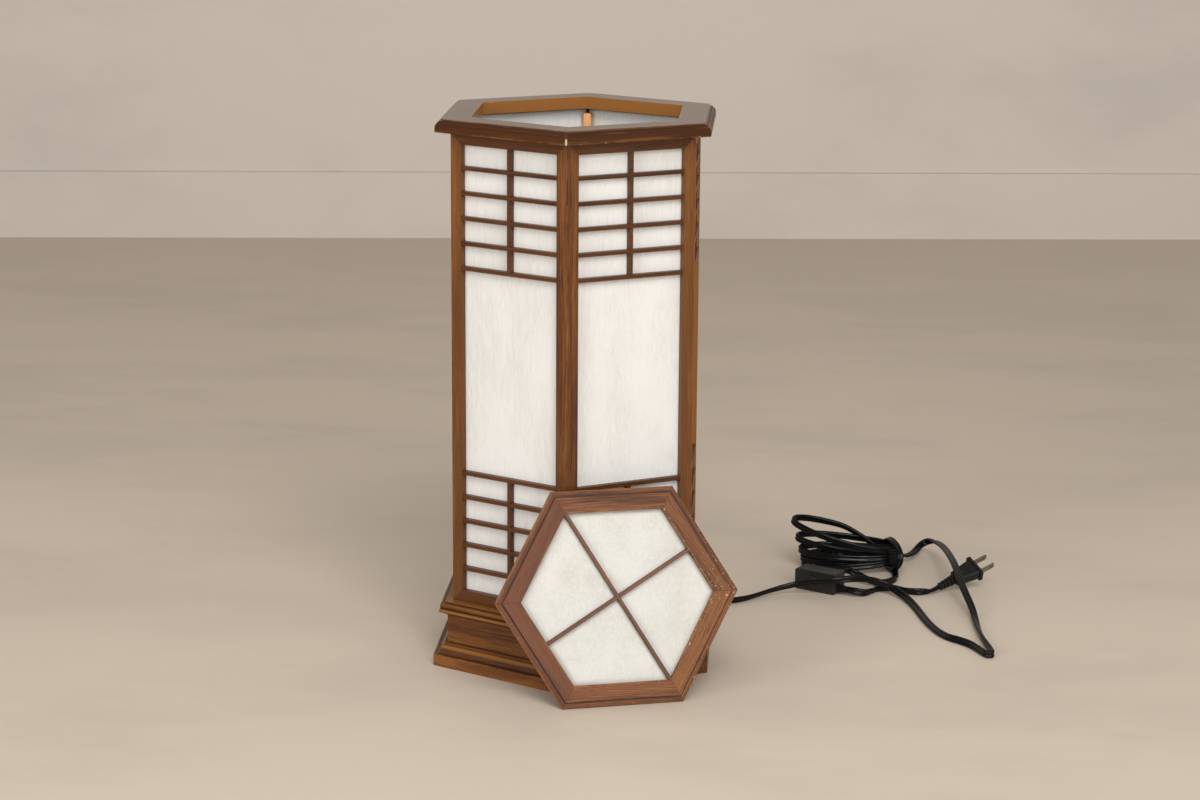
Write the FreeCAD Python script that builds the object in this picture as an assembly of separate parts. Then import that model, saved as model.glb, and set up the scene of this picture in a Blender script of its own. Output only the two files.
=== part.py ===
import FreeCAD, Part
import math
import os

# Table lamp: a six-sided tower of shoji panels on a moulded plinth, with a moulded cap, a lid that is
# taken off and leans on the tower, and a flat twin cord with a tied hank, a switch and a plug.
# Millimetres, +Z up. The origin is on the tower's axis at the floor, and a corner of the tower points
# along -Y, towards the viewer.

Vec = FreeCAD.Vector

# Tower
overall_height = 508.0
tower_width = 218.93
frame_depth = 6.0
stile_width = 11.2
rail_height = 11.0
arris_ease = 0.5
bars_per_lattice = 5
bar_width = 3.5
bar_setback = 0.5
mullion_width = 3.5
pane_height = 19.2
lap_clearance = 0.1
paper_thickness = 0.4
paper_margin = 2.0
post_width = 7.2
post_depth = 6.5
post_drop = 5.0
post_round = 1.2

# Cap
cap_thickness = 11.5
cap_inset = 16.7
cap_projection = 13.5
cap_top_projection = 8.0
cap_step = 1.5
cap_fillet = 1.0
cap_band_height = 4.8

# Plinth
plinth_height = 61.0
base_projection = 17.4
base_band_height = 11.0
base_band_round = 0.8
base_ledge = 2.4
ogee_height = 8.5
ogee_top_projection = 7.2
ogee_step = 1.6
fascia_projection = 4.9
upper_band_height = 14.0
lower_bead_projection = 12.5
lower_bead_height = 4.0
upper_bead_projection = 11.4
upper_bead_height = 5.2
bead_quirk = 2.2
top_fillet_projection = 6.7
top_fillet_height = 1.8
plinth_ledge_depth = 14.4
board_rebate = 9.0

# Base board and its screws
board_thickness = 10.0
board_clearance = 0.3
board_screw_diameter = 3.5
board_screw_length = 22.0
screw_head_diameter = 7.0
screw_head_height = 2.2
screw_clearance = 0.1

# Lampholder and bulb
holder_flange_diameter = 60.0
holder_flange_height = 7.0
holder_body_diameter = 42.0
holder_height = 40.0
holder_floor = 13.0
holder_screw_spacing = 50.0
holder_screw_length = 14.0
holder_boss_diameter = 11.0
holder_boss_reach = 28.0
shell_bore = 27.0
shell_wall = 0.7
shell_clearance = 0.2
shell_height = 23.0
contact_diameter = 10.0
contact_height = 2.5
bulb_gap = 0.3
bulb_cap_diameter = 26.2
bulb_cap_height = 25.0
bulb_contact_height = 1.4
bulb_collar = 3.0
bulb_thread_depth = 0.9
bulb_thread_turns = 6
bulb_diameter = 60.0
bulb_height = 108.0
bulb_neck_diameter = 27.5
glass_wall = 1.0

# Lid
lid_lap = 3.4
lid_rim = 7.0
lid_spigot = 6.0
lid_clearance = 0.8
lid_member_width = 19.7
lid_step_width = 5.0
lid_step_depth = 1.3
lid_edge_round = 2.0
lid_recess = 5.0
lid_paper_lap = 3.6
lid_paper_clearance = 0.4
lid_bar_width = 3.2
lid_bar_setback = 0.5
lid_lean = 15.2
lid_turn = 16.65
lid_offset = -39.9
lid_rest_gap = 0.3

# Cord and its bushing
cord_tube = 5.2
lead_bore = 4.0
bushing_height = 30.0
bushing_diameter = 10.0
bushing_clearance = 0.1
bushing_flange_diameter = 15.0
bushing_flange_thickness = 2.5
bushing_nose_length = 9.0
bushing_nose_diameter = 7.4

# Hank of the cord
hank_centre = Vec(262.0, 273.0, 0.0)
hank_turns = 4.75
hank_half_length = 44.0
hank_half_width = 15.0
nest_step = 7.0
loop_reach = 13.0
loop_widening = 5.0
loop_rise = 15.0
free_pitch = 8.2
tied_pitch = 3.1
hank_rest = 0.4
tie_lift = 9.5
tie_place = 39.6
tie_half_width = 28.0
tie_half_height = 16.0
tie_drift = 6.6
tie_turns = 1.25
tie_exit = 2.0

# Switch on the cord
switch_corner = Vec(207.0, 201.0, 0.0)
switch_heading = -30.0
switch_length = 46.0
switch_height = 21.5
switch_depth = 20.0
switch_wall = 2.0
switch_round = 2.5
switch_relief_length = 10.0
button_diameter = 11.0
button_clearance = 0.3
button_proud = 0.6
button_flange = 14.0
button_flange_thickness = 1.5
button_travel = 2.0
button_place = 0.42

# Plug
plug_start = Vec(351.0, 197.0, 5.6)
plug_heading = 31.0
plug_rise = 18.0
plug_roll = 30.0
plug_relief_length = 21.0
plug_relief_tip = 8.0
plug_body_length = 23.5
plug_body_width = 21.0
plug_body_thickness = 12.0
plug_tail_width = 14.0
plug_tail_thickness = 11.0
plug_flange_width = 25.0
plug_flange_height = 14.5
plug_flange_thickness = 3.0
plug_corner = 3.0
blade_spacing = 12.7
blade_width = 6.35
blade_thickness = 1.5
blade_length = 18.0
blade_hole = 3.2
blade_hole_inset = 4.5

# Ribbed strain reliefs
relief_ribs = 5
relief_root_diameter = 9.0
relief_tip_diameter = 7.0
relief_groove_share = 0.73
relief_rib_share = 0.48

# Derived values
COS30 = math.cos(math.radians(30.0))
TAN30 = math.tan(math.radians(30.0))
SIDES = 6
STEP = 360.0 / SIDES
PANELS = ("front_right", "right", "rear_right", "rear_left", "left", "front_left")
CORD_SIDE = PANELS.index("rear_right")

tower_face = tower_width / 2.0
tower_side = tower_width * TAN30
tower_base = plinth_height
tower_top = overall_height - cap_thickness
window_half = tower_side / 2.0 - stile_width
window_low = tower_base + rail_height
window_high = tower_top - rail_height
frame_back = tower_face - frame_depth
paper_back = frame_back - paper_thickness
bar_front = tower_face - bar_setback
bar_middle = (bar_front + frame_back) / 2.0

cap_opening = tower_face - cap_inset
plinth_inner = tower_face - plinth_ledge_depth
board_edge = plinth_inner + board_rebate
fascia_face = tower_face + fascia_projection
ogee_top = base_band_height + ogee_height
fascia_low = ogee_top + ogee_step
fascia_high = plinth_height - upper_band_height

holder_base = board_thickness
holder_top = holder_base + holder_height
shell_seat = holder_base + holder_floor
bulb_low = shell_seat + contact_height + bulb_gap

lid_edge = cap_opening + lid_lap
lid_window = lid_edge - lid_member_width
lid_spigot_edge = cap_opening - lid_clearance
lid_thickness = lid_rim + lid_spigot
button_stand = button_travel + button_proud


def turned(shape, degrees):
    """A copy of a shape, turned about the tower's axis."""
    copy = shape.copy()
    copy.rotate(Vec(0, 0, 0), Vec(0, 0, 1), degrees)
    return copy


def on_side(shape, side):
    """A shape made with its face towards -Y, moved to one side of the tower."""
    return turned(shape, STEP / 2.0 + STEP * side)


def outline(start, steps):
    """A closed wire in the YZ plane from (distance, height) points; distance runs towards -Y.

    A step is an end point, or a pair of a point to pass through and an end point for an arc."""
    def at(point):
        return Vec(0, -point[0], point[1])

    edges = []
    here = start
    for step in steps + [start]:
        if isinstance(step[0], tuple):
            through, end = step
            edges.append(Part.Arc(at(here), at(through), at(end)).toShape())
        else:
            end = step
            edges.append(Part.LineSegment(at(here), at(end)).toShape())
        here = end
    return Part.Wire(edges)


def sector(low, high, reach):
    """The sixth of a hexagonal prism that faces -Y, with its mitre planes as sides."""
    half = reach * TAN30
    corners = [Vec(0, 0, low), Vec(-half, -reach, low), Vec(half, -reach, low), Vec(0, 0, low)]
    return Part.Face(Part.makePolygon(corners)).extrude(Vec(0, 0, high - low))


def mitred_length(profile):
    """One length of moulding with the given profile, cut at both mitre planes."""
    box = profile.BoundBox
    reach = -box.YMin + 1.0
    face = Part.Face(profile)
    face.translate(Vec(-reach, 0, 0))
    blank = face.extrude(Vec(2.0 * reach, 0, 0))
    return blank.common(sector(box.ZMin - 1.0, box.ZMax + 1.0, reach))


def hexagon(flat_distance, low, high, first_angle):
    """A hexagonal prism about the axis with a corner at first_angle."""
    radius = flat_distance / COS30
    corners = []
    for corner in range(SIDES + 1):
        angle = math.radians(first_angle + STEP * corner)
        corners.append(Vec(radius * math.cos(angle), radius * math.sin(angle), low))
    return Part.Face(Part.makePolygon(corners)).extrude(Vec(0, 0, high - low))


def block(left, right, near, far, low, high):
    """A box between two planes across each axis; near and far are distances towards -Y."""
    return Part.makeBox(right - left, near - far, high - low, Vec(left, -near, low))


def plate(corners, near, far):
    """A plate with an outline of (x, z) corners between two distances towards -Y."""
    loop = [Vec(x, -near, z) for x, z in corners + corners[:1]]
    return Part.Face(Part.makePolygon(loop)).extrude(Vec(0, near - far, 0))


def rod(start, direction, length, diameter):
    """A round bar from a point along a direction."""
    return Part.makeCylinder(diameter / 2.0, length, start, direction)


def spun(points):
    """A solid of revolution about Z from a closed loop of (radius, height) points."""
    loop = [Vec(radius, 0, height) for radius, height in points + points[:1]]
    return Part.Face(Part.makePolygon(loop)).revolve(Vec(0, 0, 0), Vec(0, 0, 1), 360)


# Tower

def panel_frame():
    """The stiles and the rails of a panel, mitred to each other and to the next panels."""
    half = tower_side / 2.0
    eased = hexagon(tower_side - arris_ease, tower_base, tower_top, 0.0)
    limit = sector(tower_base, tower_top, tower_face + 1.0).common(eased)
    stile = [(half, tower_base), (half, tower_top), (window_half, window_high), (window_half, window_low)]
    rail = [(-half, tower_top), (half, tower_top), (window_half, window_high), (-window_half, window_high)]
    stiles = []
    rails = []
    for mirror in (1.0, -1.0):
        stiles.append(plate([(mirror * x, z) for x, z in stile], tower_face, frame_back).common(limit))
        middle = (tower_top + tower_base) / 2.0
        corners = [(x, middle + mirror * (z - middle)) for x, z in rail]
        rails.append(plate(corners, tower_face, frame_back).common(limit))
    return Part.makeCompound(stiles), Part.makeCompound(rails)


def lattice_heights(from_top):
    """The middle heights of one lattice's bars, from the rail inwards."""
    heights = []
    for bar in range(bars_per_lattice):
        inset = pane_height * (bar + 1) + bar_width * bar + bar_width / 2.0
        heights.append(window_high - inset if from_top else window_low + inset)
    return heights


def cross_bar(height, halved):
    """One cross bar between the stiles, halved from behind where the mullion crosses it."""
    bar = block(-window_half, window_half, bar_front, frame_back, height - bar_width / 2.0,
                height + bar_width / 2.0)
    if not halved:
        return bar
    half = (mullion_width + lap_clearance) / 2.0
    return bar.cut(block(-half, half, bar_middle, frame_back, height - bar_width, height + bar_width))


def mullion(rail_edge, heights):
    """The short upright of one lattice, from the rail to the last bar, halved over the others."""
    last = heights[-1]
    reach = math.copysign(bar_width / 2.0, rail_edge - last)
    low, high = sorted((rail_edge, last + reach))
    upright = block(-mullion_width / 2.0, mullion_width / 2.0, bar_front, frame_back, low, high)
    for height in heights[:-1]:
        half = (bar_width + lap_clearance) / 2.0
        upright = upright.cut(block(-mullion_width, mullion_width, bar_front, bar_middle,
                                    height - half, height + half))
    return upright


def panel_lattices():
    """The cross bars and the mullions of a panel, above and below its large pane."""
    bars = []
    uprights = []
    for from_top in (True, False):
        heights = lattice_heights(from_top)
        for height in heights:
            bars.append(cross_bar(height, height != heights[-1]))
        uprights.append(mullion(window_high if from_top else window_low, heights))
    return Part.makeCompound(bars), Part.makeCompound(uprights)


def panel_paper():
    """The paper sheet on the back of a panel."""
    half = frame_back * TAN30 - paper_margin
    return block(-half, half, frame_back, paper_back, tower_base + paper_margin, tower_top - paper_margin)


def corner_posts():
    """Posts in the inner corners that pinch the paper's edges, with rounded tops."""
    half = post_width / 2.0
    corner = paper_back / COS30
    shoulder = corner - half * TAN30
    front = shoulder - post_depth
    section = [Vec(0, -corner, tower_base), Vec(half, -shoulder, tower_base), Vec(half, -front, tower_base),
               Vec(-half, -front, tower_base), Vec(-half, -shoulder, tower_base)]
    height = tower_top - post_drop - tower_base
    post = Part.Face(Part.makePolygon(section + section[:1])).extrude(Vec(0, 0, height))
    top = [edge for edge in post.Edges if edge.BoundBox.ZMin > tower_base + height - 0.01]
    post = post.makeFillet(post_round, top)
    return Part.makeCompound([turned(post, STEP * corner_index) for corner_index in range(SIDES)])


# Cap and plinth

def cap_ring():
    """The six mitred lengths of the cap."""
    band = tower_face + cap_projection
    top = tower_face + cap_top_projection
    shoulder = overall_height - cap_step
    band_top = tower_top + cap_band_height
    start = top + cap_fillet
    through = (start + (band - start) * 0.62, shoulder - (shoulder - band_top) * 0.38)
    profile = outline((cap_opening, tower_top), [
        (cap_opening, overall_height), (top, overall_height), (top, shoulder), (start, shoulder),
        (through, (band, band_top)), (band, tower_top)])
    length = mitred_length(profile)
    return Part.makeCompound([on_side(length, side) for side in range(SIDES)])


def plinth_profile():
    """The section of the plinth: base band, ogee, fascia, double bead and ledge."""
    base = tower_face + base_projection
    foot = base - base_ledge
    crown = tower_face + ogee_top_projection
    waist = ((foot + crown) / 2.0, (base_band_height + ogee_top) / 2.0)
    hollow = (foot + (waist[0] - foot) * 0.62, base_band_height + (waist[1] - base_band_height) * 0.30)
    swell = (crown + (waist[0] - crown) * 0.62, ogee_top - (ogee_top - waist[1]) * 0.30)
    round_middle = base_band_round * (1.0 - math.sqrt(0.5))
    lower_bead = tower_face + lower_bead_projection
    upper_bead = tower_face + upper_bead_projection
    fillet = tower_face + top_fillet_projection
    fillet_low = plinth_height - top_fillet_height
    upper_low = fillet_low - upper_bead_height
    lower_low = upper_low - lower_bead_height
    return outline((board_edge, 0.0), [
        (base, 0.0), (base, base_band_height - base_band_round),
        ((base - round_middle, base_band_height - round_middle), (base - base_band_round, base_band_height)),
        (foot, base_band_height), (hollow, waist), (swell, (crown, ogee_top)), (crown, fascia_low),
        (fascia_face, fascia_low), (fascia_face, fascia_high), (lower_bead - bead_quirk, lower_low),
        ((lower_bead, lower_low + lower_bead_height / 2.0), (lower_bead - bead_quirk, upper_low)),
        (upper_bead - bead_quirk, upper_low),
        ((upper_bead, upper_low + upper_bead_height / 2.0), (upper_bead - bead_quirk, fillet_low)),
        (fillet, fillet_low), (fillet, plinth_height), (plinth_inner, plinth_height),
        (plinth_inner, board_thickness), (board_edge, board_thickness)])


def board_screw_places():
    """A point under the plinth's ledge at the middle of each side."""
    distance = (plinth_inner + board_edge) / 2.0
    return [on_side(Part.Vertex(0, -distance, 0), side).Point for side in range(SIDES)]


def wood_screw(tip, length):
    """A countersunk screw that points up, with its slotted head at the bottom."""
    shank = rod(tip - Vec(0, 0, length), Vec(0, 0, 1), length, board_screw_diameter)
    head = Part.makeCone(screw_head_diameter / 2.0, board_screw_diameter / 2.0, screw_head_height,
                         tip - Vec(0, 0, length))
    slot = Part.makeBox(screw_head_diameter, 1.0, 0.8, tip - Vec(screw_head_diameter / 2.0, 0.5, length))
    return shank.fuse(head).removeSplitter().cut(slot)


def screw_hole(tip, length):
    """The room for such a screw."""
    shank = rod(tip - Vec(0, 0, length), Vec(0, 0, 1), length + screw_clearance,
                board_screw_diameter + screw_clearance)
    head = Part.makeCone((screw_head_diameter + screw_clearance) / 2.0,
                         (board_screw_diameter + screw_clearance) / 2.0, screw_head_height,
                         tip - Vec(0, 0, length))
    return shank.fuse(head)


def board_screws():
    """The six screws through the base board into the plinth."""
    return [wood_screw(place + Vec(0, 0, board_screw_length), board_screw_length)
            for place in board_screw_places()]


def side_direction(side):
    """The outward direction of a side of the tower."""
    angle = math.radians(-90.0 + STEP / 2.0 + STEP * side)
    return Vec(math.cos(angle), math.sin(angle), 0)


def plinth_mouldings():
    """The six mitred lengths of the plinth, with pilot holes and the hole for the cord's bushing."""
    length = mitred_length(plinth_profile())
    lengths = [on_side(length, side) for side in range(SIDES)]
    for side, place in enumerate(board_screw_places()):
        tip = place + Vec(0, 0, board_screw_length)
        lengths[side] = lengths[side].cut(screw_hole(tip, board_screw_length))
    out = side_direction(CORD_SIDE)
    hole = rod(out * (plinth_inner - 1.0) + Vec(0, 0, bushing_height), out, fascia_face - plinth_inner + 2.0,
               bushing_diameter + bushing_clearance)
    lengths[CORD_SIDE] = lengths[CORD_SIDE].cut(hole)
    return Part.makeCompound(lengths)


def holder_screw_places():
    """The two screw holes in the lampholder's flange, at the flange's top."""
    height = holder_base + holder_flange_height
    return [Vec(0, offset * holder_screw_spacing / 2.0, height) for offset in (-1.0, 1.0)]


def flipped(shape, place):
    """A copy of an upright screw shape, turned upside down at a place."""
    copy = shape.copy()
    copy.rotate(place, Vec(1, 0, 0), 180)
    return copy


def holder_screws():
    """The two screws that hold the lampholder, heads up."""
    return [flipped(wood_screw(place + Vec(0, 0, holder_screw_length), holder_screw_length), place)
            for place in holder_screw_places()]


def holder_screw_room():
    """The room for those screws."""
    return [flipped(screw_hole(place + Vec(0, 0, holder_screw_length), holder_screw_length), place)
            for place in holder_screw_places()]


def base_board():
    """The board that closes the plinth, flush with its foot."""
    board = hexagon(board_edge - board_clearance, 0.0, board_thickness, -90.0)
    for place in board_screw_places():
        board = board.cut(screw_hole(place + Vec(0, 0, board_screw_length), board_screw_length))
    for room in holder_screw_room():
        board = board.cut(room)
    return board


# Lampholder and bulb

def holder_body():
    """The lampholder's moulded body with its flange, its socket and a boss for the lead."""
    flange = holder_flange_diameter / 2.0
    wall = holder_body_diameter / 2.0
    bore = shell_bore / 2.0 + shell_wall + shell_clearance
    body = spun([(0.0, holder_base), (flange, holder_base), (flange, holder_base + holder_flange_height),
                 (wall, holder_base + holder_flange_height), (wall, holder_top), (bore, holder_top),
                 (bore, shell_seat), (0.0, shell_seat)])
    out = side_direction(CORD_SIDE)
    boss_height = holder_base + holder_flange_height + holder_boss_diameter / 2.0
    boss_start = shell_bore / 2.0 + shell_wall + 2.0 * shell_clearance + 1.0
    boss = rod(out * boss_start + Vec(0, 0, boss_height), out, holder_boss_reach - boss_start,
               holder_boss_diameter)
    body = body.fuse(boss).removeSplitter()
    for room in holder_screw_room():
        body = body.cut(room)
    return body


def holder_shell():
    """The thin screw shell in the lampholder's socket."""
    inner = shell_bore / 2.0
    return spun([(inner, shell_seat), (inner + shell_wall, shell_seat),
                 (inner + shell_wall, shell_seat + shell_height), (inner, shell_seat + shell_height)])


def holder_contact():
    """The contact at the bottom of the socket."""
    return rod(Vec(0, 0, shell_seat), Vec(0, 0, 1), contact_height, contact_diameter)


def bulb_contact():
    """The contact at the bulb's foot."""
    return rod(Vec(0, 0, bulb_low), Vec(0, 0, 1), bulb_contact_height, contact_diameter)


def bulb_cap():
    """The bulb's screw cap, with a ridged wall and an insulating cone under it."""
    radius = bulb_cap_diameter / 2.0
    low = bulb_low + bulb_contact_height
    thread_low = low + bulb_collar
    top = bulb_low + bulb_cap_height
    pitch = (top - bulb_collar - thread_low) / bulb_thread_turns
    points = [(0.0, low), (contact_diameter / 2.0, low), (radius - bulb_thread_depth, thread_low)]
    for ridge in range(bulb_thread_turns):
        height = thread_low + pitch * ridge
        points.append((radius, height + pitch * 0.35))
        points.append((radius, height + pitch * 0.65))
        points.append((radius - bulb_thread_depth, height + pitch))
    points.append((radius, top - bulb_collar * 0.5))
    points.append((radius, top))
    points.append((0.0, top))
    return spun(points)


def bulb_wall(inset):
    """Half the bulb's outline, from the neck to the crown, drawn in by an inset."""
    neck = bulb_neck_diameter / 2.0 - inset
    radius = bulb_diameter / 2.0 - inset
    low = bulb_low + bulb_cap_height
    crown = bulb_low + bulb_height - inset
    belly = bulb_low + bulb_height - bulb_diameter / 2.0
    start = Vec(neck, 0, low)
    shoulder = Vec(neck + (radius - neck) * 0.52, 0, low + (belly - low) * 0.58)
    widest = Vec(radius, 0, belly)
    side = Vec(neck + (radius - neck) * 0.14, 0, low + (belly - low) * 0.30)
    swell = Vec(neck + (radius - neck) * 0.87, 0, low + (belly - low) * 0.80)
    dome = Vec(radius * math.sqrt(0.5), 0, belly + (crown - belly) * math.sqrt(0.5))
    return [Part.Arc(start, side, shoulder).toShape(), Part.Arc(shoulder, swell, widest).toShape(),
            Part.Arc(widest, dome, Vec(0, 0, crown)).toShape()]


def bulb_glass():
    """The bulb's thin glass, open at the neck where the cap closes it."""
    outside = bulb_wall(0.0)
    inside = bulb_wall(glass_wall)
    foot = Part.LineSegment(inside[0].Vertexes[0].Point, outside[0].Vertexes[0].Point).toShape()
    crown = Part.LineSegment(outside[-1].Vertexes[-1].Point, inside[-1].Vertexes[-1].Point).toShape()
    loop = Part.Wire(Part.__sortEdges__([foot] + outside + [crown] + inside))
    return Part.Face(loop).revolve(Vec(0, 0, 0), Vec(0, 0, 1), 360)


# Lid, made flat with its upper face at height 0 and a side towards -Y

def lid_pose():
    """Where the lid rests: on its rim's lower edge, with its spigot's upper edge at the tower's arris."""
    lean = math.radians(lid_lean)
    turn = math.radians(lid_turn)
    along = Vec(math.cos(turn), math.sin(turn), 0)
    out = Vec(math.sin(turn), -math.cos(turn), 0)
    face = out * math.cos(lean) + Vec(0, 0, math.sin(lean))
    up = face.cross(along)
    reach = lid_thickness * math.cos(lean) + lid_spigot_edge * math.sin(lean) + lid_rest_gap
    height = lid_edge * math.cos(lean) + lid_rim * math.sin(lean)
    corner = tower_side - arris_ease
    reach += arris_ease / TAN30 * math.sin(turn)
    centre = Vec(0, -corner, height) + out * reach - along * lid_offset
    return FreeCAD.Placement(FreeCAD.Matrix(along.x, up.x, face.x, centre.x, along.y, up.y, face.y, centre.y,
                                            along.z, up.z, face.z, centre.z, 0, 0, 0, 1))


def leaned(shape):
    """A lid piece, put where the lid leans."""
    copy = shape.copy()
    copy.Placement = lid_pose().multiply(copy.Placement)
    return copy


def lid_frame():
    """The six mitred members of the lid: stepped edge, rim, spigot and a rebate for the paper."""
    step = lid_edge - lid_step_width
    rebate = lid_window + lid_paper_lap + lid_paper_clearance
    drop = lid_step_depth + lid_edge_round
    bend = lid_edge_round * (1.0 - math.sqrt(0.5))
    profile = outline((lid_window, -lid_recess), [
        (lid_window, 0.0), (step, 0.0), (step, -lid_step_depth),
        (lid_edge - lid_edge_round, -lid_step_depth),
        ((lid_edge - bend, -lid_step_depth - bend), (lid_edge, -drop)), (lid_edge, -lid_rim),
        (lid_spigot_edge, -lid_rim), (lid_spigot_edge, -lid_thickness), (rebate, -lid_thickness),
        (rebate, -lid_recess)])
    member = mitred_length(profile)
    return leaned(Part.makeCompound([turned(member, STEP * side) for side in range(SIDES)]))


def lid_paper():
    """The lid's paper, in the rebate behind the bars."""
    return leaned(hexagon(lid_window + lid_paper_lap, -lid_recess - paper_thickness, -lid_recess, 0.0))


def lid_bar(angle, over):
    """A bar across the lid's window, halved where it crosses the other bar."""
    window = hexagon(lid_window, -lid_recess, -lid_bar_setback, 0.0)
    reach = lid_edge
    bar = block(-reach, reach, lid_bar_width / 2.0, -lid_bar_width / 2.0, -lid_recess, -lid_bar_setback)
    middle = -(lid_recess + lid_bar_setback) / 2.0
    half = (lid_bar_width + lap_clearance) / 2.0
    if over:
        notch = block(-half, half, lid_bar_width, -lid_bar_width, -lid_recess, middle)
    else:
        notch = block(-half, half, lid_bar_width, -lid_bar_width, middle, 0.0)
    return leaned(turned(bar.cut(notch), angle).common(window))


# Ribbed strain reliefs and the cord's bushing

def ribbed_relief(length, root, tip):
    """A tapered sleeve with ribs, along +X from its wide end, with a bore for the leads."""
    pitch = length / relief_ribs
    loop = [Vec(0, lead_bore / 2.0, 0)]
    for rib in range(relief_ribs):
        radius = (root + (tip - root) * rib / (relief_ribs - 1)) / 2.0
        floor = radius - (radius - lead_bore / 2.0) * relief_groove_share
        loop.append(Vec(pitch * rib, radius, 0))
        loop.append(Vec(pitch * (rib + relief_rib_share), radius, 0))
        loop.append(Vec(pitch * (rib + relief_rib_share), floor, 0))
        loop.append(Vec(pitch * (rib + 1), floor, 0))
    loop.append(Vec(length, lead_bore / 2.0, 0))
    return Part.Face(Part.makePolygon(loop + loop[:1])).revolve(Vec(0, 0, 0), Vec(1, 0, 0), 360)


def cord_bushing():
    """The bushing in the plinth, with a flange on the fascia and a tapered nose."""
    barrel = bushing_diameter / 2.0
    flange = bushing_flange_diameter / 2.0
    seat = fascia_face
    face = seat + bushing_flange_thickness
    nose = face + bushing_nose_length
    points = [(lead_bore / 2.0, plinth_inner), (barrel, plinth_inner), (barrel, seat), (flange, seat),
              (flange, face), (barrel, face), (bushing_nose_diameter / 2.0, nose), (lead_bore / 2.0, nose)]
    bushing = spun(points)
    bushing.rotate(Vec(0, 0, 0), Vec(0, 1, 0), 90)
    bushing.translate(Vec(0, 0, bushing_height))
    out = side_direction(CORD_SIDE)
    return turned(bushing, math.degrees(math.atan2(out.y, out.x)))


# Switch, made with its front face towards -Y and its lower front left corner at the origin

def switch_place(shape):
    """A switch piece, put where the switch lies."""
    copy = shape.copy()
    copy.rotate(Vec(0, 0, 0), Vec(0, 0, 1), switch_heading)
    copy.translate(switch_corner)
    return copy


def switch_box(inset, front, back):
    """A block of the switch's outline, drawn in by an inset, between two depths."""
    box = Part.makeBox(switch_length - 2.0 * inset, back - front, switch_height - 2.0 * inset,
                       Vec(inset, front, inset))
    edges = [edge for edge in box.Edges if edge.BoundBox.YLength > (back - front) * 0.9]
    return box.makeFillet(max(switch_round - inset, 0.5), edges)


def button_axis():
    """The middle of the push button on the front face."""
    return Vec(switch_length * button_place, 0, switch_height / 2.0)


def switch_cover():
    """The front shell of the switch, with a hole for the push button."""
    seam = switch_depth / 2.0
    shell = switch_box(0.0, 0.0, seam).cut(switch_box(switch_wall, switch_wall, seam))
    hole = rod(button_axis() - Vec(0, 1, 0), Vec(0, 1, 0), switch_wall + 2.0,
               button_diameter + 2.0 * button_clearance)
    return switch_place(shell.cut(hole))


def switch_base():
    """The rear shell of the switch."""
    seam = switch_depth / 2.0
    room = switch_box(switch_wall, seam, switch_depth - switch_wall)
    shell = switch_box(0.0, seam, switch_depth).cut(room)
    return switch_place(shell)


def switch_button():
    """The push button, held by a flange behind the cover."""
    middle = button_axis()
    cap = rod(middle - Vec(0, button_stand, 0), Vec(0, 1, 0), button_stand + switch_wall + button_clearance,
              button_diameter)
    rim = [edge for edge in cap.Edges if edge.BoundBox.YMax < -button_stand + 0.01]
    cap = cap.makeFillet(0.8, rim)
    flange = rod(middle + Vec(0, switch_wall + button_clearance, 0), Vec(0, 1, 0), button_flange_thickness,
                 button_flange)
    return switch_place(cap.fuse(flange).removeSplitter())


def relief_ends():
    """The face and the outward direction of the switch's two strain reliefs, before it is placed."""
    to_hank = (Vec(switch_length - 9.0, switch_depth, switch_height - 5.5), Vec(0, 1, 0))
    to_plug = (Vec(switch_length, switch_depth * 0.4, 6.0), Vec(1, 0, 0))
    return to_hank, to_plug


def switch_reliefs():
    """The two ribbed strain reliefs of the switch."""
    reliefs = []
    for foot, direction in relief_ends():
        relief = ribbed_relief(switch_relief_length, relief_root_diameter, relief_tip_diameter)
        relief.rotate(Vec(0, 0, 0), Vec(0, 0, 1), math.degrees(math.atan2(direction.y, direction.x)))
        relief.translate(foot)
        reliefs.append(switch_place(relief))
    return Part.makeCompound(reliefs)


def relief_tip(index):
    """Where the cord meets one of the switch's strain reliefs, and the way it leaves it."""
    foot, direction = relief_ends()[index]
    tip = switch_place(Part.Vertex(foot + direction * switch_relief_length)).Point
    away = switch_place(Part.Vertex(foot + direction * (switch_relief_length + 1.0))).Point - tip
    return tip, away


# Plug, made along +X from the tip of its strain relief

def plug_place(shape):
    """A plug piece, put where the plug lies."""
    copy = shape.copy()
    copy.rotate(Vec(0, 0, 0), Vec(1, 0, 0), plug_roll)
    copy.rotate(Vec(0, 0, 0), Vec(0, 1, 0), -plug_rise)
    copy.rotate(Vec(0, 0, 0), Vec(0, 0, 1), plug_heading)
    copy.translate(plug_start)
    return copy


def plug_axis():
    """The way the plug points."""
    return plug_place(Part.Vertex(1, 0, 0)).Point - plug_start


def plug_section(distance, width, height):
    """A rectangle with rounded corners across the plug."""
    corner = min(plug_corner, width * 0.45, height * 0.45)
    box = Part.makeBox(1.0, width, height, Vec(distance - 1.0, -width / 2.0, -height / 2.0))
    box = box.makeFillet(corner, [edge for edge in box.Edges if edge.BoundBox.XLength > 0.9])
    faces = [face for face in box.Faces if face.BoundBox.XMin > distance - 0.01]
    return faces[0].OuterWire


def plug_body():
    """The plug's moulded body, from its narrow tail to its flange."""
    tail = plug_relief_length
    seat = tail + plug_body_length
    body = Part.makeLoft([plug_section(tail, plug_tail_width, plug_tail_thickness),
                          plug_section(seat, plug_body_width, plug_body_thickness)], True, True)
    flange = Part.Face(plug_section(seat, plug_flange_width, plug_flange_height))
    flange = flange.extrude(Vec(plug_flange_thickness, 0, 0))
    return plug_place(body.fuse(flange).removeSplitter())


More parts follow.
